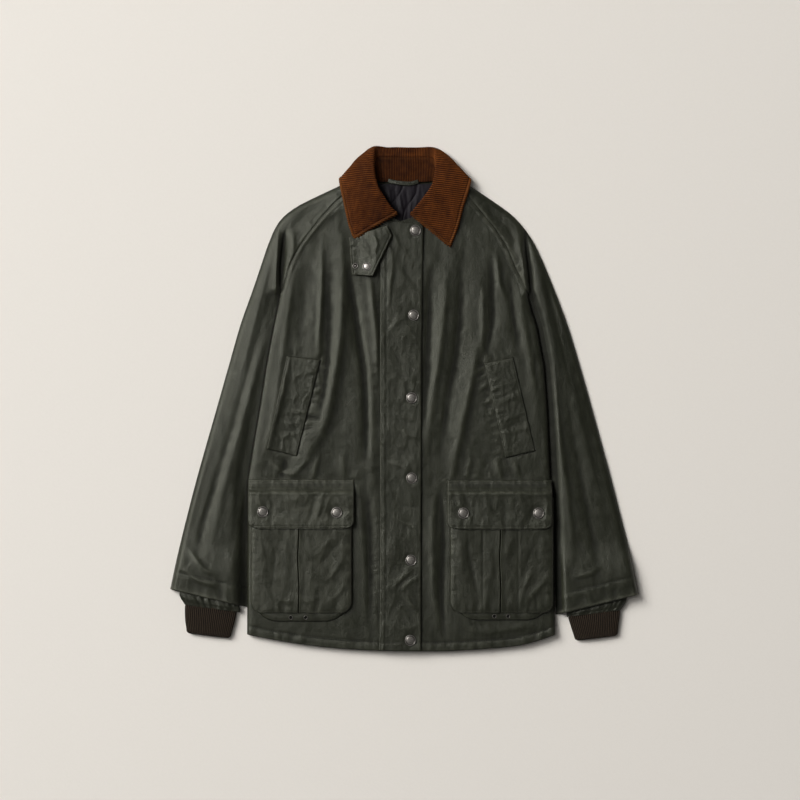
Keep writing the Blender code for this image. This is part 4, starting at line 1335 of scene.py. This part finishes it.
def level_wales(whole, run, roll):
    """Distance across the wales: along the collar at the back, down the plan on its leaves."""
    level = whole[:, :, 1] - 0.12 * np.abs(whole[:, :, 0])
    half = run[-1] / 2
    phase = np.repeat(run[:, None], whole.shape[1], axis=1)
    for direction in (-1, 1):
        rows = np.nonzero((run - half) * direction >= 0)[0][::direction]
        along = np.abs(run[rows] - half)
        start = int(np.argmax(along > 70))
        leaf = along[start] + level[rows[start], roll] - level[rows]
        share = ease((along[:, None] - 52) / 36)
        phase[rows] = half + direction * (along[:, None] * (1 - share) + leaf * share)
    return phase


def make_collar():
    table = np.array(COLLAR_RIGHT[::-1] + [COLLAR_CENTRE] + COLLAR_LEFT, float)[::-1]
    fine = smooth_path(table, 36)
    rows, run = even_rows(fine, (fine[:, 2] + fine[:, 3]) / 2, 0.95)
    steps = 26
    whole = np.swapaxes(smooth_path(np.swapaxes(rows, 0, 1), steps), 0, 1)
    normal = surface_normals(whole)
    # unrolled distances: across the collar from its fall edge, and from its two front ends
    strips = np.linalg.norm(np.diff(whole, axis=1), axis=2)
    to_edge = np.concatenate([np.cumsum(strips[:, ::-1], axis=1)[:, ::-1],
                              np.zeros((len(whole), 1))], axis=1)
    to_seam = np.abs(to_edge - to_edge[:, steps:steps + 1])
    along_rows = np.linalg.norm(np.diff(whole, axis=0), axis=2)
    from_start = np.concatenate([np.zeros((1, whole.shape[1])), np.cumsum(along_rows, axis=0)])
    to_end = np.minimum(from_start, from_start[-1] - from_start)
    border = np.minimum(to_edge, to_end)
    # the wales stand upright at the back of the neck and lie almost level on both leaves
    drift = 0.5 * noise(to_edge / 26, run[:, None] / 60, 101)
    phase = level_wales(whole, run, 2 * steps) + drift
    wale = np.abs(np.sin(np.pi * phase / WALE_PITCH)) ** 0.9
    relief = WALE_HEIGHT * (wale - 0.6)
    relief -= 1.0 * bell(border - COLLAR_STITCH, 0.9)
    relief += 0.4 * bell(border - 2.8, 1.6)
    relief -= 1.1 * (1 - rolled(border / 1.8))
    relief -= 0.4 * bell(to_seam, 1.1)
    relief += 0.2 * bell(to_seam - 2.6, 1.3)
    relief += 0.9 * noise(run[:, None] / 24, to_edge / 22, 102)
    relief += 0.45 * noise(run[:, None] / 7, to_edge / 40, 103) * np.exp(-border / 8)
    place = whole + normal * relief[:, :, None]
    # wales stand out past the cut at the front ends, and the points of the leaves are blunt
    outward = whole[[0, -1]] - whole[[6, -7]]
    outward = outward / np.linalg.norm(outward, axis=2, keepdims=True)
    blunt = -3.0 * np.exp(-(to_edge / 4.0))
    lining = whole - normal * CORDUROY
    for end, direction in ((0, outward[0]), (-1, outward[1])):
        from_cut = np.abs(from_start - from_start[end])
        scallop = 5.5 * (wale - 0.6) * np.exp(-from_cut / 3.0)
        shift = direction[None] * (scallop + blunt * np.exp(-from_cut / 4.0))[:, :, None]
        place += shift
        lining += shift
    place[:, :, 2] = np.maximum(place[:, :, 2], 0.1)
    worn = 0.25 * bell(border - 1.2, 1.4)
    worn += 0.34 * bell(border - COLLAR_STITCH + 2.2, 1.3)
    worn += 0.10 * bell(to_seam - 2.6, 1.5)
    worn *= (0.65 + 0.7 * noise(run[:, None] / 12, to_edge / 18, 104))
    # the pile's tone varies at random; it gets a painted highlight towards the outer edge, painted
    # shade by the roll and the cut ends, and is painted paler towards the wearer's left
    nap = 0.50 + 0.22 * noise(run[:, None] / 9, to_edge / 7, 105) + 0.0016 * whole[:, :, 0]
    nap = nap + 0.30 * ease(1 - to_edge / 46) - 0.25 * np.exp(-to_end / 12)
    values = {"wale": wale, "wear_and_painted_light": np.clip(worn, 0, 1), "nap": np.clip(nap, 0, 1)}
    # the stand is a darker copy of the corduroy: painted shade under the roll of the collar
    painted_shade_factors = {"collar_stand": 0.58, "collar_fall": 1.0}
    for name, node, part in (("cloth_collar_stand", "collar_stand", slice(0, steps + 1)),
                             ("cloth_collar_fall", "collar_fall", slice(steps, None))):
        points = place[:, part]
        inner = lining[:, part]
        uv = (run[:, None] + 0 * to_edge[:, part], to_edge[:, part])
        kept = {key: value[:, part] for key, value in values.items()}
        material = corduroy_cloth("corduroy_" + node, painted_shade_factors[node])
        piece = add_piece(name, shell_mesh(name, points, inner, uv, kept), material,
                          [node])
    return place, normal, border


# ---- lining and hanging loop -----------------------------------------------------------------
QUILT_LINES = [
    [(20, 330), (18, 318), (10, 305), (2, 294), (-2, 280), (-3, 264)],
    [(-44, 322), (-30, 308), (-20, 292), (-14, 276), (-12, 264)],
    [(-2, 331), (-6, 320), (-16, 306), (-30, 294), (-44, 288)],
    [(44, 324), (34, 310), (26, 296), (22, 280), (20, 264)],
]
LINING_FOLDS = own_folds([
    (2.2, 3.0, [(-8, 330), (-6, 306), (-3, 288), (-2, 270)]),
    (-1.8, 2.6, [(3, 328), (4, 308), (4, 288), (3, 268)]),
    (1.6, 2.6, [(10, 326), (11, 310), (9, 296), (8, 276)]),
    (-1.4, 2.6, [(-15, 328), (-14, 310), (-11, 292)]),
    (1.8, 3.0, [(-24, 326), (-22, 310), (-18, 296), (-12, 280)]),
    (1.5, 3.0, [(22, 324), (20, 310), (16, 294), (13, 280)]),
    (-1.6, 3.0, [(-33, 322), (-30, 306), (-24, 290)]),
    (1.4, 2.6, [(32, 322), (30, 312), (25, 300)]),
])


def lining_cloth():
    """Thin navy lining with a faint slub and a soft shine."""
    shading = Shading("lining_cloth")
    where = shading.cloth_place()
    slub = shading.noise(shading.scaled(where, (1500.0, 60.0, 1.0)), 1.0, 2.0)
    cloud = shading.noise(where, 60.0, 3.0)
    colour = shading.mix(cloud, (0.0034, 0.0025, 0.0041), (0.0078, 0.0058, 0.0088))
    colour = shading.tinted(colour, slub, 0.45, 0.75, 0.5, (0.016, 0.012, 0.018))
    roughness = shading.spread(cloud, 0.3, 0.7, 0.52, 0.64)
    normal = shading.bump(slub, 0.00006)
    normal = shading.bump(shading.noise(where, 240.0, 3.0), 0.0003, normal)
    return shading.finish(colour, roughness, normal, Sheen_Weight=0.02, Specular_IOR_Level=0.16)


def make_lining():
    heights = np.linspace(264, 332, 56)
    half = 32 + (heights - 264) * 0.33
    x = half[:, None] * np.linspace(-1, 1, 80)
    y = np.repeat(heights[:, None], 80, axis=1)
    quilt = np.full(x.shape, 99.0)
    for line in QUILT_LINES:
        distance, _, _ = nearest(smooth_path(line, 4), x, y)
        quilt = np.minimum(quilt, distance)
    puff = 1.1 * rolled(quilt / 9.0) - 0.6 * bell(quilt, 0.8)
    z = SHELL + 0.5 + 0.9 + neck_lift(x, y) + puff + 0.36 * fold_relief(x, y, LINING_FOLDS)
    z += 0.35 * noise(x / 4.2, y / 15, 111)
    z = np.maximum(z, SHELL + neck_lift(x, y) + 1.4)
    mesh = grid_mesh("cloth_lining", x, y, z, (x, y), {})
    piece = add_piece("cloth_lining", mesh, lining_cloth(), ["lining_neck"])
    thicken(piece, 0.9)


HANGER = [(-26, 334.5), (-14, 331.5), (0, 330), (11, 330), (22, 333)]


def make_hanger():
    """Loop of folded tape whose ends go under the collar's stand."""
    path = smooth_path(HANGER, 14)
    slope = np.gradient(path, axis=0)
    slope = slope / np.hypot(*slope.T)[:, None]
    across = np.linspace(-0.5, 6.0, 12)
    x = path[:, :1] - slope[:, 1:] * across
    y = path[:, 1:] + slope[:, :1] * across
    edge = np.minimum(across + 0.5, 6.0 - across)
    run = running(steps_along(path))[:, None]
    arch = np.sin(np.pi * run / run[-1, 0])
    z = 9.0 + 1.3 * arch + 0.9 * rolled(edge / 1.2) - 0.25 * bell(edge - 1.6, 0.4)
    z += 0.25 * noise(run / 5, across / 4 + 0 * run, 115)
    x, y, z = x[:, ::-1], y[:, ::-1], z[:, ::-1]
    wear_and_painted_light = 0.35 * bell(edge[::-1], 0.8) * (0.5 + 0.8 * noise(run / 4, 0 * run, 116))
    uv = (run + 0 * x, across + 0 * x)
    mesh = grid_mesh("cloth_hanger_loop", x, y, z, uv, {"wear_and_painted_light": np.clip(wear_and_painted_light + 0 * x, 0, 1)})
    piece = add_piece("cloth_hanger_loop", mesh, WAXED, ["hanger_loop"])
    thicken(piece, 1.0)
    return path


# ---- storm cuffs -----------------------------------------------------------------------------
# y, x and half-width of each section, its lowest and highest points, turn in degrees
BANDS = {
    "right": [(-280, -297, 45, 2.9, 9.0, -12), (-309, -302, 47, 2.9, 9.6, -12),
              (-318, -300, 47, 1.8, 9.8, -10), (-325.5, -297, 43, 0.9, 8.8, -7)],
    "left": [(-290, 300, 45, 2.9, 9.0, 14), (-319, 298, 48, 2.9, 9.6, 14),
             (-326, 296, 47, 1.8, 9.8, 11), (-333, 293, 42, 0.9, 8.8, 7)],
}
RIBS = {
    "right": [(-322.5, -299, 39.5, 0.2, 8.3, -7), (-328, -300, 40, 0.1, 8.8, -7),
              (-345, -302, 38, 0.1, 8.8, -7), (-360, -303, 35, 0.1, 8.2, -7),
              (-364.5, -303.6, 33.9, 0.2, 7.9, -7), (-367.3, -304, 31.0, 0.6, 7.3, -7)],
    "left": [(-330, 293, 39.5, 0.2, 8.3, 7), (-336, 294, 40, 0.1, 8.8, 7),
             (-350, 295, 37, 0.1, 8.8, 7), (-364, 296.5, 34, 0.1, 8.2, 7),
             (-368.5, 296.8, 32.9, 0.2, 7.9, 7), (-371.3, 297, 30.0, 0.6, 7.3, 7)],
}
RIB_COUNT = 54


def flat_ring(half_width, half_height, count):
    """Evenly spaced points round a flattened tube, from its outer side."""
    angle = np.linspace(0, 2 * np.pi, 721)
    across = np.sign(np.cos(angle)) * np.abs(np.cos(angle)) ** 0.8 * half_width
    rise = np.sign(np.sin(angle)) * np.abs(np.sin(angle)) ** 0.8 * half_height
    run = running(np.hypot(np.diff(across), np.diff(rise)))
    even = np.linspace(0, run[-1], count, endpoint=False)
    return np.interp(even, run, across), np.interp(even, run, rise), run[-1]


def tube_points(sections, count, spacing):
    table = smooth_path(np.array(sections, float), 8)
    table, run = even_rows(table, table[:, :1] * 1.0, spacing)
    points = np.zeros((len(table), count, 3))
    outward = np.zeros((len(table), count, 3))
    rounds = []
    for number, (y, centre, half_width, low, high, degrees) in enumerate(table):
        across, rise, length = flat_ring(half_width, (high - low) / 2, count)
        rounds.append(length)
        cosine, sine = math.cos(math.radians(degrees)), math.sin(math.radians(degrees))
        points[number] = np.stack([centre + across * cosine, y + across * sine,
                                   (low + high) / 2 + rise], axis=1)
        leaning = np.stack([np.gradient(rise), -np.gradient(across)], axis=1)
        leaning = leaning / np.linalg.norm(leaning, axis=1)[:, None]
        outward[number] = np.stack([leaning[:, 0] * cosine, leaning[:, 0] * sine,
                                    leaning[:, 1]], axis=1)
    return points, outward, run, float(np.mean(rounds))


def rib_cloth():
    """Knitted rib: small V-shaped stitches along soft ribs."""
    shading = Shading("rib_cloth")
    where = shading.cloth_place()
    fuzz = shading.noise(shading.solid_place(), 1300.0, 3.0, 0.65)
    height = shading.attribute("wale")
    # painted shade: near-black colour in the grooves between the ribs
    colour = shading.mix(shading.spread(height, 0.0, 1.0, 0.0, 1.0), (0.0022, 0.0016, 0.0011),
                         (0.0420, 0.0302, 0.0205))
    colour = shading.tinted(colour, fuzz, 0.5, 0.8, 0.6, (0.044, 0.033, 0.023))
    parts = shading.add("ShaderNodeSeparateXYZ", {0: where}).outputs
    leaning = shading.math("MULTIPLY", height, 3.0)
    knit = shading.math("SINE", shading.math("ADD", leaning,
                                            shading.math("MULTIPLY", parts[1], 3600.0)))
    normal = shading.bump(knit, 0.00022)
    normal = shading.bump(fuzz, 0.0004, normal)
    return shading.finish(colour, 0.9, normal, Sheen_Weight=0.03, Sheen_Roughness=0.5,
                          Specular_IOR_Level=0.1)


RIB_KNIT = rib_cloth()


def make_cuff(side):
    points, outward, run, round_it = tube_points(BANDS[side], 150, 1.6)
    turn = np.linspace(0, 150, 150, endpoint=False)[None, :] / 150 * round_it
    down = run[:, None] / run[-1]
    gather = noise(turn / 6.5, run[:, None] / 26, 121 + SIDES.index(side))
    relief = gather * (0.35 + 1.15 * down) - 0.7 * bell(run[-1] - run[:, None] - 4, 1)
    wear_and_painted_light = np.clip(0.25 * ease(gather - 0.4) + 0 * down, 0, 1)
    finish_tube("cloth_cuff_band_" + side, points, outward, relief, (turn, run), {"wear_and_painted_light": wear_and_painted_light},
                (WAXED, "cuff_cloth", "cuff_band_" + side), 1.2)

    count = RIB_COUNT * 6
    points, outward, run, round_it = tube_points(RIBS[side], count, 1.9)
    turn = np.linspace(0, count, count, endpoint=False)[None, :] / count * round_it
    wave = np.cos(2 * np.pi * turn / round_it * RIB_COUNT)
    wale = ease(0.5 + 0.5 * wave) + 0 * run[:, None]
    relief = 0.85 * (wale - 0.7) - 0.9 * (1 - rolled((run[-1] - run[:, None]) / 2.5))
    relief += 0.3 * noise(turn / 20, run[:, None] / 12, 131)
    finish_tube("cloth_rib_cuff_" + side, points, outward, relief, (turn, run), {"wale": wale},
                (RIB_KNIT, "rib_knit", "rib_cuff_" + side), 2.0)


def finish_tube(name, points, outward, relief, measures, values, made_of, wall):
    turn, run = measures
    material, slot, node = made_of
    outer = points + outward * relief[:, :, None]
    inner = points - outward * wall
    outer[:, :, 2] = np.maximum(outer[:, :, 2], 0.1)
    uv = (turn + 0 * run[:, None], run[:, None] + 0 * turn)
    mesh = shell_mesh(name, outer, inner, uv, values, True)
    piece = add_piece(name, mesh, material, [node])


COLLAR_POINTS, COLLAR_NORMALS, COLLAR_BORDER = make_collar()
make_lining()
HANGER_PATH = make_hanger()
for cloth_side in SIDES:
    make_cuff(cloth_side)


# ---- snaps and eyelets -----------------------------------------------------------------------
def aged_metal():
    """Worn grey metal, duller and browner in patches."""
    shading = Shading("aged_metal")
    solid = shading.solid_place()
    patina = shading.noise(solid, 420.0, 4.0, 0.6)
    rubbed = shading.noise(solid, 1500.0, 2.0)
    colour = shading.mix(shading.spread(patina, 0.35, 0.65, 0.0, 1.0), (0.150, 0.139, 0.125),
                         (0.290, 0.275, 0.256))
    # painted shade: the metal turns near-black where the groove attribute is set, in grooves, at
    # the foot and down holes
    groove = shading.attribute("groove")
    colour = shading.mix(groove, colour, (0.018, 0.015, 0.012))
    roughness = shading.spread(patina, 0.3, 0.7, 0.44, 0.32)
    normal = shading.bump(rubbed, 0.00005)
    return shading.finish(colour, roughness, normal, Metallic=0.85)


# painted shade: a near-black floor and wall inside each eyelet, where the cloth under the hole
# would show
def painted_hole_shade():
    shading = Shading("painted_hole_shade")
    solid = shading.solid_place()
    fuzz = shading.noise(solid, 1800.0, 2.0)
    colour = shading.mix(fuzz, (0.0020, 0.0020, 0.0016), (0.0060, 0.0060, 0.0048))
    return shading.finish(colour, 0.9, shading.bump(fuzz, 0.0001), Specular_IOR_Level=0.1)


SNAP_RADIUS, LATCH_SNAP_RADIUS = 8.5, 6.5
LATCH_SNAP, LATCH_STUD = (-58.5, 204), (-76, 205)
METAL = aged_metal()
PAINTED_HOLE_SHADE = painted_hole_shade()
SEGMENTS = 56


def turned_piece(node, profile, place, height, hole_rings=0):
    """Body of revolution from (radius, height, groove) rings, tilted to the cloth under it; groove
    is the share of painted shade on the metal there.
    """
    x, y = place
    reach = profile[0][0] * 0.8
    slope_x = (point_top(height, x + reach, y) - point_top(height, x - reach, y)) / 2 / reach
    slope_y = (point_top(height, x, y + reach) - point_top(height, x, y - reach)) / 2 / reach
    tilt = Vector((-0.6 * slope_x, -0.6 * slope_y, 1)).normalized()
    turn = Vector((0, 0, 1)).rotation_difference(tilt).to_matrix()
    rim = [point_top(height, x + reach * math.cos(a), y + reach * math.sin(a))
           for a in np.linspace(0, 2 * np.pi, 12, endpoint=False)]
    base = 0.6 * float(np.mean(rim)) + 0.4 * max(rim)
    shape = bmesh.new()
    painted_shade_layer = shape.verts.layers.float.new("groove")
    rings = []
    for radius, level, groove in profile:
        ring = []
        for angle in np.linspace(0, 2 * np.pi, SEGMENTS, endpoint=False):
            local = Vector((radius * math.cos(angle), radius * math.sin(angle), level))
            point = (turn @ local + Vector((x, y, base))) * MM
            ring.append(shape.verts.new(point))
            ring[-1][painted_shade_layer] = groove
        rings.append(ring)
    for number, (outer, inner) in enumerate(zip(rings, rings[1:])):
        for step in range(SEGMENTS):
            after = (step + 1) % SEGMENTS
            face = shape.faces.new((outer[step], outer[after], inner[after], inner[step]))
            face.smooth = True
            face.material_index = 1 if number >= len(rings) - 1 - hole_rings > 0 else 0
    top = shape.faces.new(rings[-1])
    top.smooth = True
    top.material_index = 1 if hole_rings else 0
    shape.faces.new(rings[0][::-1])
    mesh = bpy.data.meshes.new("metal_" + node)
    shape.to_mesh(mesh)
    shape.free()
    add_piece("metal_" + node, mesh, METAL, [node])
    # the last hole rings and the top face take the painted shade of the hole
    if hole_rings:
        mesh.materials.append(PAINTED_HOLE_SHADE)


def snap_profile(radius):
    """Rolled rim, a fine groove inside it and a nearly flat cap."""
    k = radius / SNAP_RADIUS
    rings = [(8.0, 0.0, 0.8), (8.35, 0.15, 0.6), (8.5, 0.5, 0.1), (8.45, 0.95, 0), (8.1, 1.35, 0),
             (7.6, 1.5, 0), (7.15, 1.35, 0.3), (6.85, 1.05, 1.0), (6.6, 1.02, 1.0),
             (6.3, 1.2, 0.6), (5.9, 1.42, 0.15), (5.2, 1.58, 0), (4.2, 1.72, 0), (3.0, 1.84, 0),
             (1.8, 1.92, 0), (0.8, 1.95, 0), (0.15, 1.96, 0)]
    return [(r * k, h * min(k * 1.1, 1.0), groove) for r, h, groove in rings]


# the third number of each ring is its painted shade, darkest in the grooves, at the foot and down
# the holes
EYELET_PROFILE = [(3.0, -0.3, 0.8), (3.2, 0.2, 0.3), (3.1, 0.5, 0), (2.85, 0.62, 0),
                  (2.6, 0.45, 0.3), (2.45, 0.2, 0.8), (2.4, 0.1, 1), (0.1, 0.1, 1)]
STUD_PROFILE = [(4.3, -0.2, 1), (4.5, 0.3, 0.6), (4.3, 0.9, 0), (3.7, 1.25, 0), (3.2, 1.15, 0.2),
                (2.9, 0.7, 1), (2.6, 0.3, 1), (1.7, 0.3, 1), (1.4, 0.6, 0.8), (1.15, 1.1, 0.3),
                (0.8, 1.3, 0), (0.1, 1.3, 0)]
EYELETS = {"right": [(-176, -338.5), (-153, -338.5)], "left": [(139, -336.5), (160, -336.5)]}


def make_fasteners():
    for number, place in enumerate(PLACKET_SNAPS, start=1):
        turned_piece(f"snap_placket_{number}", snap_profile(SNAP_RADIUS), place, placket_top)
    for side in SIDES:
        for number, place in enumerate(FLAP_SNAPS[side], start=1):
            turned_piece(f"snap_flap_{side}_{number}", snap_profile(SNAP_RADIUS), place,
                         partial(flap_top, side))
        for number, place in enumerate(EYELETS[side], start=1):
            turned_piece(f"eyelet_{side}_{number}", EYELET_PROFILE, place, gusset_top,
                         1)
    turned_piece("snap_latch", snap_profile(LATCH_SNAP_RADIUS), LATCH_SNAP, latch_top)
    turned_piece("stud_latch", STUD_PROFILE, LATCH_STUD, latch_top)


# ---- stitches --------------------------------------------------------------------------------
STITCH_HALF_WIDTH = 0.45
STITCH_RISE = 0.42


def thread_cloth(name, light, dark):
    shading = Shading(name)
    twist = shading.noise(shading.solid_place(), 2600.0, 2.0)
    colour = shading.mix(twist, dark, light)
    return shading.finish(colour, 0.75, shading.bump(twist, 0.0001), Specular_IOR_Level=0.3)


def stitch_places(path, pitch=3.6):
    """Middle and direction of each stitch along a path."""
    path = np.asarray(path, float)
    run = running(np.linalg.norm(np.diff(path, axis=0), axis=1))
    places = np.arange(pitch / 2, run[-1] - pitch / 2, pitch)
    return [sampled(path, run, places + step) for step in (-1.35, 0, 1.35)]


def stitch_mesh(name, lines):
    """Every stitch is a short closed bead with tapered ends; lines hold its three points."""
    points = []
    for tail, middle, head in lines:
        along = head - tail
        along = along / np.maximum(np.linalg.norm(along, axis=1, keepdims=True), 1e-9)
        side = np.cross(along, np.array([0.0, 0.0, 1.0]))
        side = side / np.maximum(np.linalg.norm(side, axis=1, keepdims=True), 1e-9)
        over = np.cross(side, along)
        stations = []
        for centre, wide, lift in ((tail, 0.5, -0.3), (middle, 1.0, 0.1), (head, 0.5, -0.3)):
            core = centre + over * lift
            out, up = side * STITCH_HALF_WIDTH * wide, over * STITCH_RISE * wide
            stations.append(np.stack([core - out, core + up, core + out, core - up], axis=1))
        points.append(np.stack(stations, axis=1))
    points = np.concatenate(points)
    index = np.arange(points.size // 3).reshape(-1, 3, 4)
    near, far = index[:, :-1], index[:, 1:]
    sides = [np.stack([near[..., k], near[..., (k + 1) % 4], far[..., (k + 1) % 4], far[..., k]],
                      axis=-1).reshape(-1, 4) for k in range(4)]
    caps = [index[:, 0, ::-1], index[:, 2]]
    faces = np.concatenate(sides + caps)
    flat = np.zeros(points.shape[:3])
    return quad_mesh(name, points, faces, (flat, flat), {})


def lifted(path, height):
    path = np.asarray(path, float)
    z = height(path[:, 0], path[:, 1]) + 0.12
    return np.column_stack([path[:, 0], path[:, 1], z])


def finely(points):
    """The same path with points at even small steps."""
    points = np.asarray(points, float)
    run = running(steps_along(points))
    even = np.linspace(0, run[-1], max(int(run[-1] / 1.2), 2))
    return sampled(points, run, even)


def beside(path, offset):
    """Path moved to its left by the offset."""
    path = finely(path)
    slope = np.gradient(path, axis=0)
    slope = slope / np.hypot(*slope.T)[:, None]
    return path + offset * np.stack([-slope[:, 1], slope[:, 0]], axis=1)


def rounded_inset(box, inset, top_inset=None):
    """Open path down one side, round both lower corners and up the other side."""
    left, right, top, bottom, radius = box
    left, right, bottom = left + inset, right - inset, bottom + inset
    radius = max(radius - inset, 2.0)
    top -= (inset if top_inset is None else top_inset)
    angles = np.radians(np.linspace(0, 90, 9))
    first = [(left + radius - radius * math.cos(a), bottom + radius - radius * math.sin(a))
             for a in angles]
    second = [(left + right - x, y) for x, y in first[::-1]]
    return [(left, top), *first, *second, (right, top)]


def add_stitches(name, paths, height, thread):
    lines = [stitch_places(lifted(finely(path), height)) for path in paths]
    add_piece(name, stitch_mesh(name, lines), thread)


def make_stitches():
    thread = thread_cloth("waxed_thread", (0.0480, 0.0495, 0.0370), (0.0180, 0.0186, 0.0135))
    for number, side in enumerate(SIDES):
        raglan = SEAM_PATHS[number][4][2:-1]
        inward = -SIGN[side]
        front_rows = [beside(raglan, inward * row) for row in RAGLAN_ROWS]
        hem_start = -41.5 if side == "right" else 30.0
        hem = [(x, hem_y(x) + HEM_STITCH) for x in np.linspace(hem_start, SIGN[side] * 236, 60)]
        front_rows.append(np.array(hem))
        add_stitches("stitches_front_" + side, front_rows, front_top, thread)
        welt = welt_path(side)
        centre = welt[:-1].mean(axis=0)
        inset = centre + (welt - centre) * np.array([1 - 2.3 / 26, 1 - 2.3 / 74])
        add_stitches("stitches_welt_" + side, [inset], partial(welt_top, side), thread)
        add_stitches("stitches_pocket_" + side, [rounded_inset(POCKETS[side], POCKET_STITCH, 52)],
                     partial(pocket_top, side), thread)
        left, right, top = FLAPS[side][:3]
        bars = [[(left + 3, top - FLAP_STITCH), (right - 3, top - FLAP_STITCH)],
                [(left + 3, top - FLAP_BAND), (right - 3, top - FLAP_BAND)],
                rounded_inset(FLAPS[side], FLAP_STITCH)]
        add_stitches("stitches_flap_" + side, bars, partial(flap_top, side), thread)
        inner_y, outer_x, outer_y = SLEEVES[side][-1]
        inner = np.array((body_edge_x(side, inner_y), inner_y))
        outer = np.array((outer_x, outer_y), float)
        start, end = inner + (outer - inner) * 0.12, inner + (outer - inner) * 0.95
        away = np.array((-(outer - inner)[1], (outer - inner)[0])) * -SIGN[side]
        away = away / np.hypot(*away) * SLEEVE_HEM_STITCH
        away = away if away[1] > 0 else -away
        add_stitches("stitches_sleeve_" + side, [np.array([start + away, end + away])],
                     partial(sleeve_top, side), thread)
    rows = []
    for offset in PLACKET_ROWS:
        rows.append([(np.interp(y, *zip(*PLACKET_LEFT)) + offset, y)
                     for y in np.linspace(270, -386, 90)])
    rows.append([(-36, 274), (27, 268)])
    rows.append([(x, hem_y(x) + HEM_STITCH) for x in np.linspace(-37, 23, 20)])
    add_stitches("stitches_placket", rows, placket_top, thread)
    path = latch_path()
    centre = path[:-1].mean(axis=0)
    inset = centre + (path - centre) * 0.90
    add_stitches("stitches_latch", [inset[:-1]], latch_top, thread)
    tape = HANGER_PATH[6:-6]
    lines = []
    for offset in (1.1, 4.4):
        row = beside(tape, offset)
        level = 9.0 + 1.3 * np.sin(np.pi * np.linspace(0.1, 0.9, len(row))) + 0.95
        lines.append(stitch_places(np.column_stack([row, level]), 3.4))
    pale = thread_cloth("pale_thread", (0.075, 0.078, 0.060), (0.030, 0.031, 0.024))
    add_piece("stitches_hanger", stitch_mesh("stitches_hanger", lines), pale)


def make_collar_stitches():
    """Rows of stitches beside the outer edge of the leaves and beside their two cuts."""
    visible = COLLAR_BORDER.shape[1] // 2 + 6
    away = np.abs(COLLAR_BORDER - COLLAR_STITCH)
    rows = np.arange(len(away))
    spots = [(rows, visible + away[:, visible:].argmin(axis=1))]
    columns = np.arange(visible, away.shape[1])
    for start in (0, len(away) - 60):
        spots.append((start + away[start:start + 60, visible:].argmin(axis=0), columns))
    lines = []
    for row, column in spots:
        kept = away[row, column] < 0.9
        row, column = row[kept], column[kept]
        edge = COLLAR_POINTS[row, column] + COLLAR_NORMALS[row, column] * 0.1
        edge[:, 2] = np.maximum(edge[:, 2], 0.8)
        lines.append(stitch_places(edge, 3.4))
    thread = thread_cloth("collar_thread", (0.080, 0.024, 0.007), (0.030, 0.009, 0.003))
    add_piece("stitches_collar", stitch_mesh("stitches_collar", lines), thread)


make_fasteners()
make_stitches()
make_collar_stitches()


# ---- floor, light and camera -----------------------------------------------------------------
def make_floor():
    mesh = bpy.data.meshes.new("floor")
    half, level = 6.0, -0.0003
    corners = [(-half, -half, level), (half, -half, level), (half, half, level),
               (-half, half, level)]
    mesh.from_pydata(corners, [], [(0, 1, 2, 3)])
    floor = new_object("floor", mesh)
    shading = Shading("pale_floor")
    speck = shading.noise(shading.solid_place(), 260.0, 3.0)
    colour = shading.mix(speck, (0.735, 0.705, 0.660), (0.760, 0.729, 0.684))
    mesh.materials.append(shading.finish(colour, 0.9, shading.bump(speck, 0.0002),
                                         Specular_IOR_Level=0.2))


def add_light(name, place, target, size, power, colour, seen_in):
    lamp = bpy.data.lights.new(name, "AREA")
    lamp.shape = "RECTANGLE"
    lamp.size, lamp.size_y = size
    lamp.energy = power
    lamp.color = colour
    light = new_object(name, lamp)
    light.visible_glossy = seen_in == "gloss"
    light.visible_diffuse = seen_in == "diffuse"
    light.location = place
    light.rotation_euler = (Vector(target) - Vector(place)).to_track_quat("-Z", "Y").to_euler()


def make_studio():
    warm, white = (1.0, 0.985, 0.965), (1.0, 0.99, 0.97)
    key, middle, chest = (-9.4, 6.0, 7.2), (0, 0, 0), (-0.1, 0, 0)
    add_light("key", key, middle, (6.6, 6.6), 2560, warm, "diffuse")
    add_light("key_gloss", key, middle, (6.6, 6.6), 420, warm, "gloss")
    add_light("overhead", (-1.8, 0.7, 4.4), chest, (1.3, 1.9), 34, white, "diffuse")
    add_light("overhead_gloss", (-2.7, 1.2, 3.6), chest, (1.3, 2.0), 195, white, "gloss")
    # a dim room with pale walls, which show only behind the jacket in a low view
    world = bpy.data.worlds.new("studio")
    world.use_nodes = True
    nodes, links = world.node_tree.nodes, world.node_tree.links
    place = nodes.new("ShaderNodeTexCoord")
    parts = nodes.new("ShaderNodeSeparateXYZ")
    links.new(place.outputs["Generated"], parts.inputs[0])
    wall = nodes.new("ShaderNodeMapRange")
    wall.interpolation_type = "SMOOTHSTEP"
    links.new(parts.outputs["Z"], wall.inputs["Value"])
    for key, value in (("From Min", 0.10), ("From Max", 0.32), ("To Min", 0.62), ("To Max", 0.10)):
        wall.inputs[key].default_value = value
    links.new(wall.outputs["Result"], nodes["Background"].inputs["Strength"])
    nodes["Background"].inputs["Color"].default_value = (1.0, 0.975, 0.94, 1)
    bpy.context.scene.world = world


def make_camera():
    """Straight above; 800 pixels cover 1.24 m of the surface, so a pixel is 1.55 mm."""
    lens = bpy.data.cameras.new("camera")
    height, span = 5.0, 1.24
    lens.sensor_width = 36.0
    lens.lens = 36.0 * height / span
    camera = new_object("camera", lens)
    camera.location = (-0.007, -0.0023, height)
    bpy.context.scene.camera = camera


make_floor()
make_studio()
make_camera()
bpy.context.scene.view_settings.view_transform = "Standard"
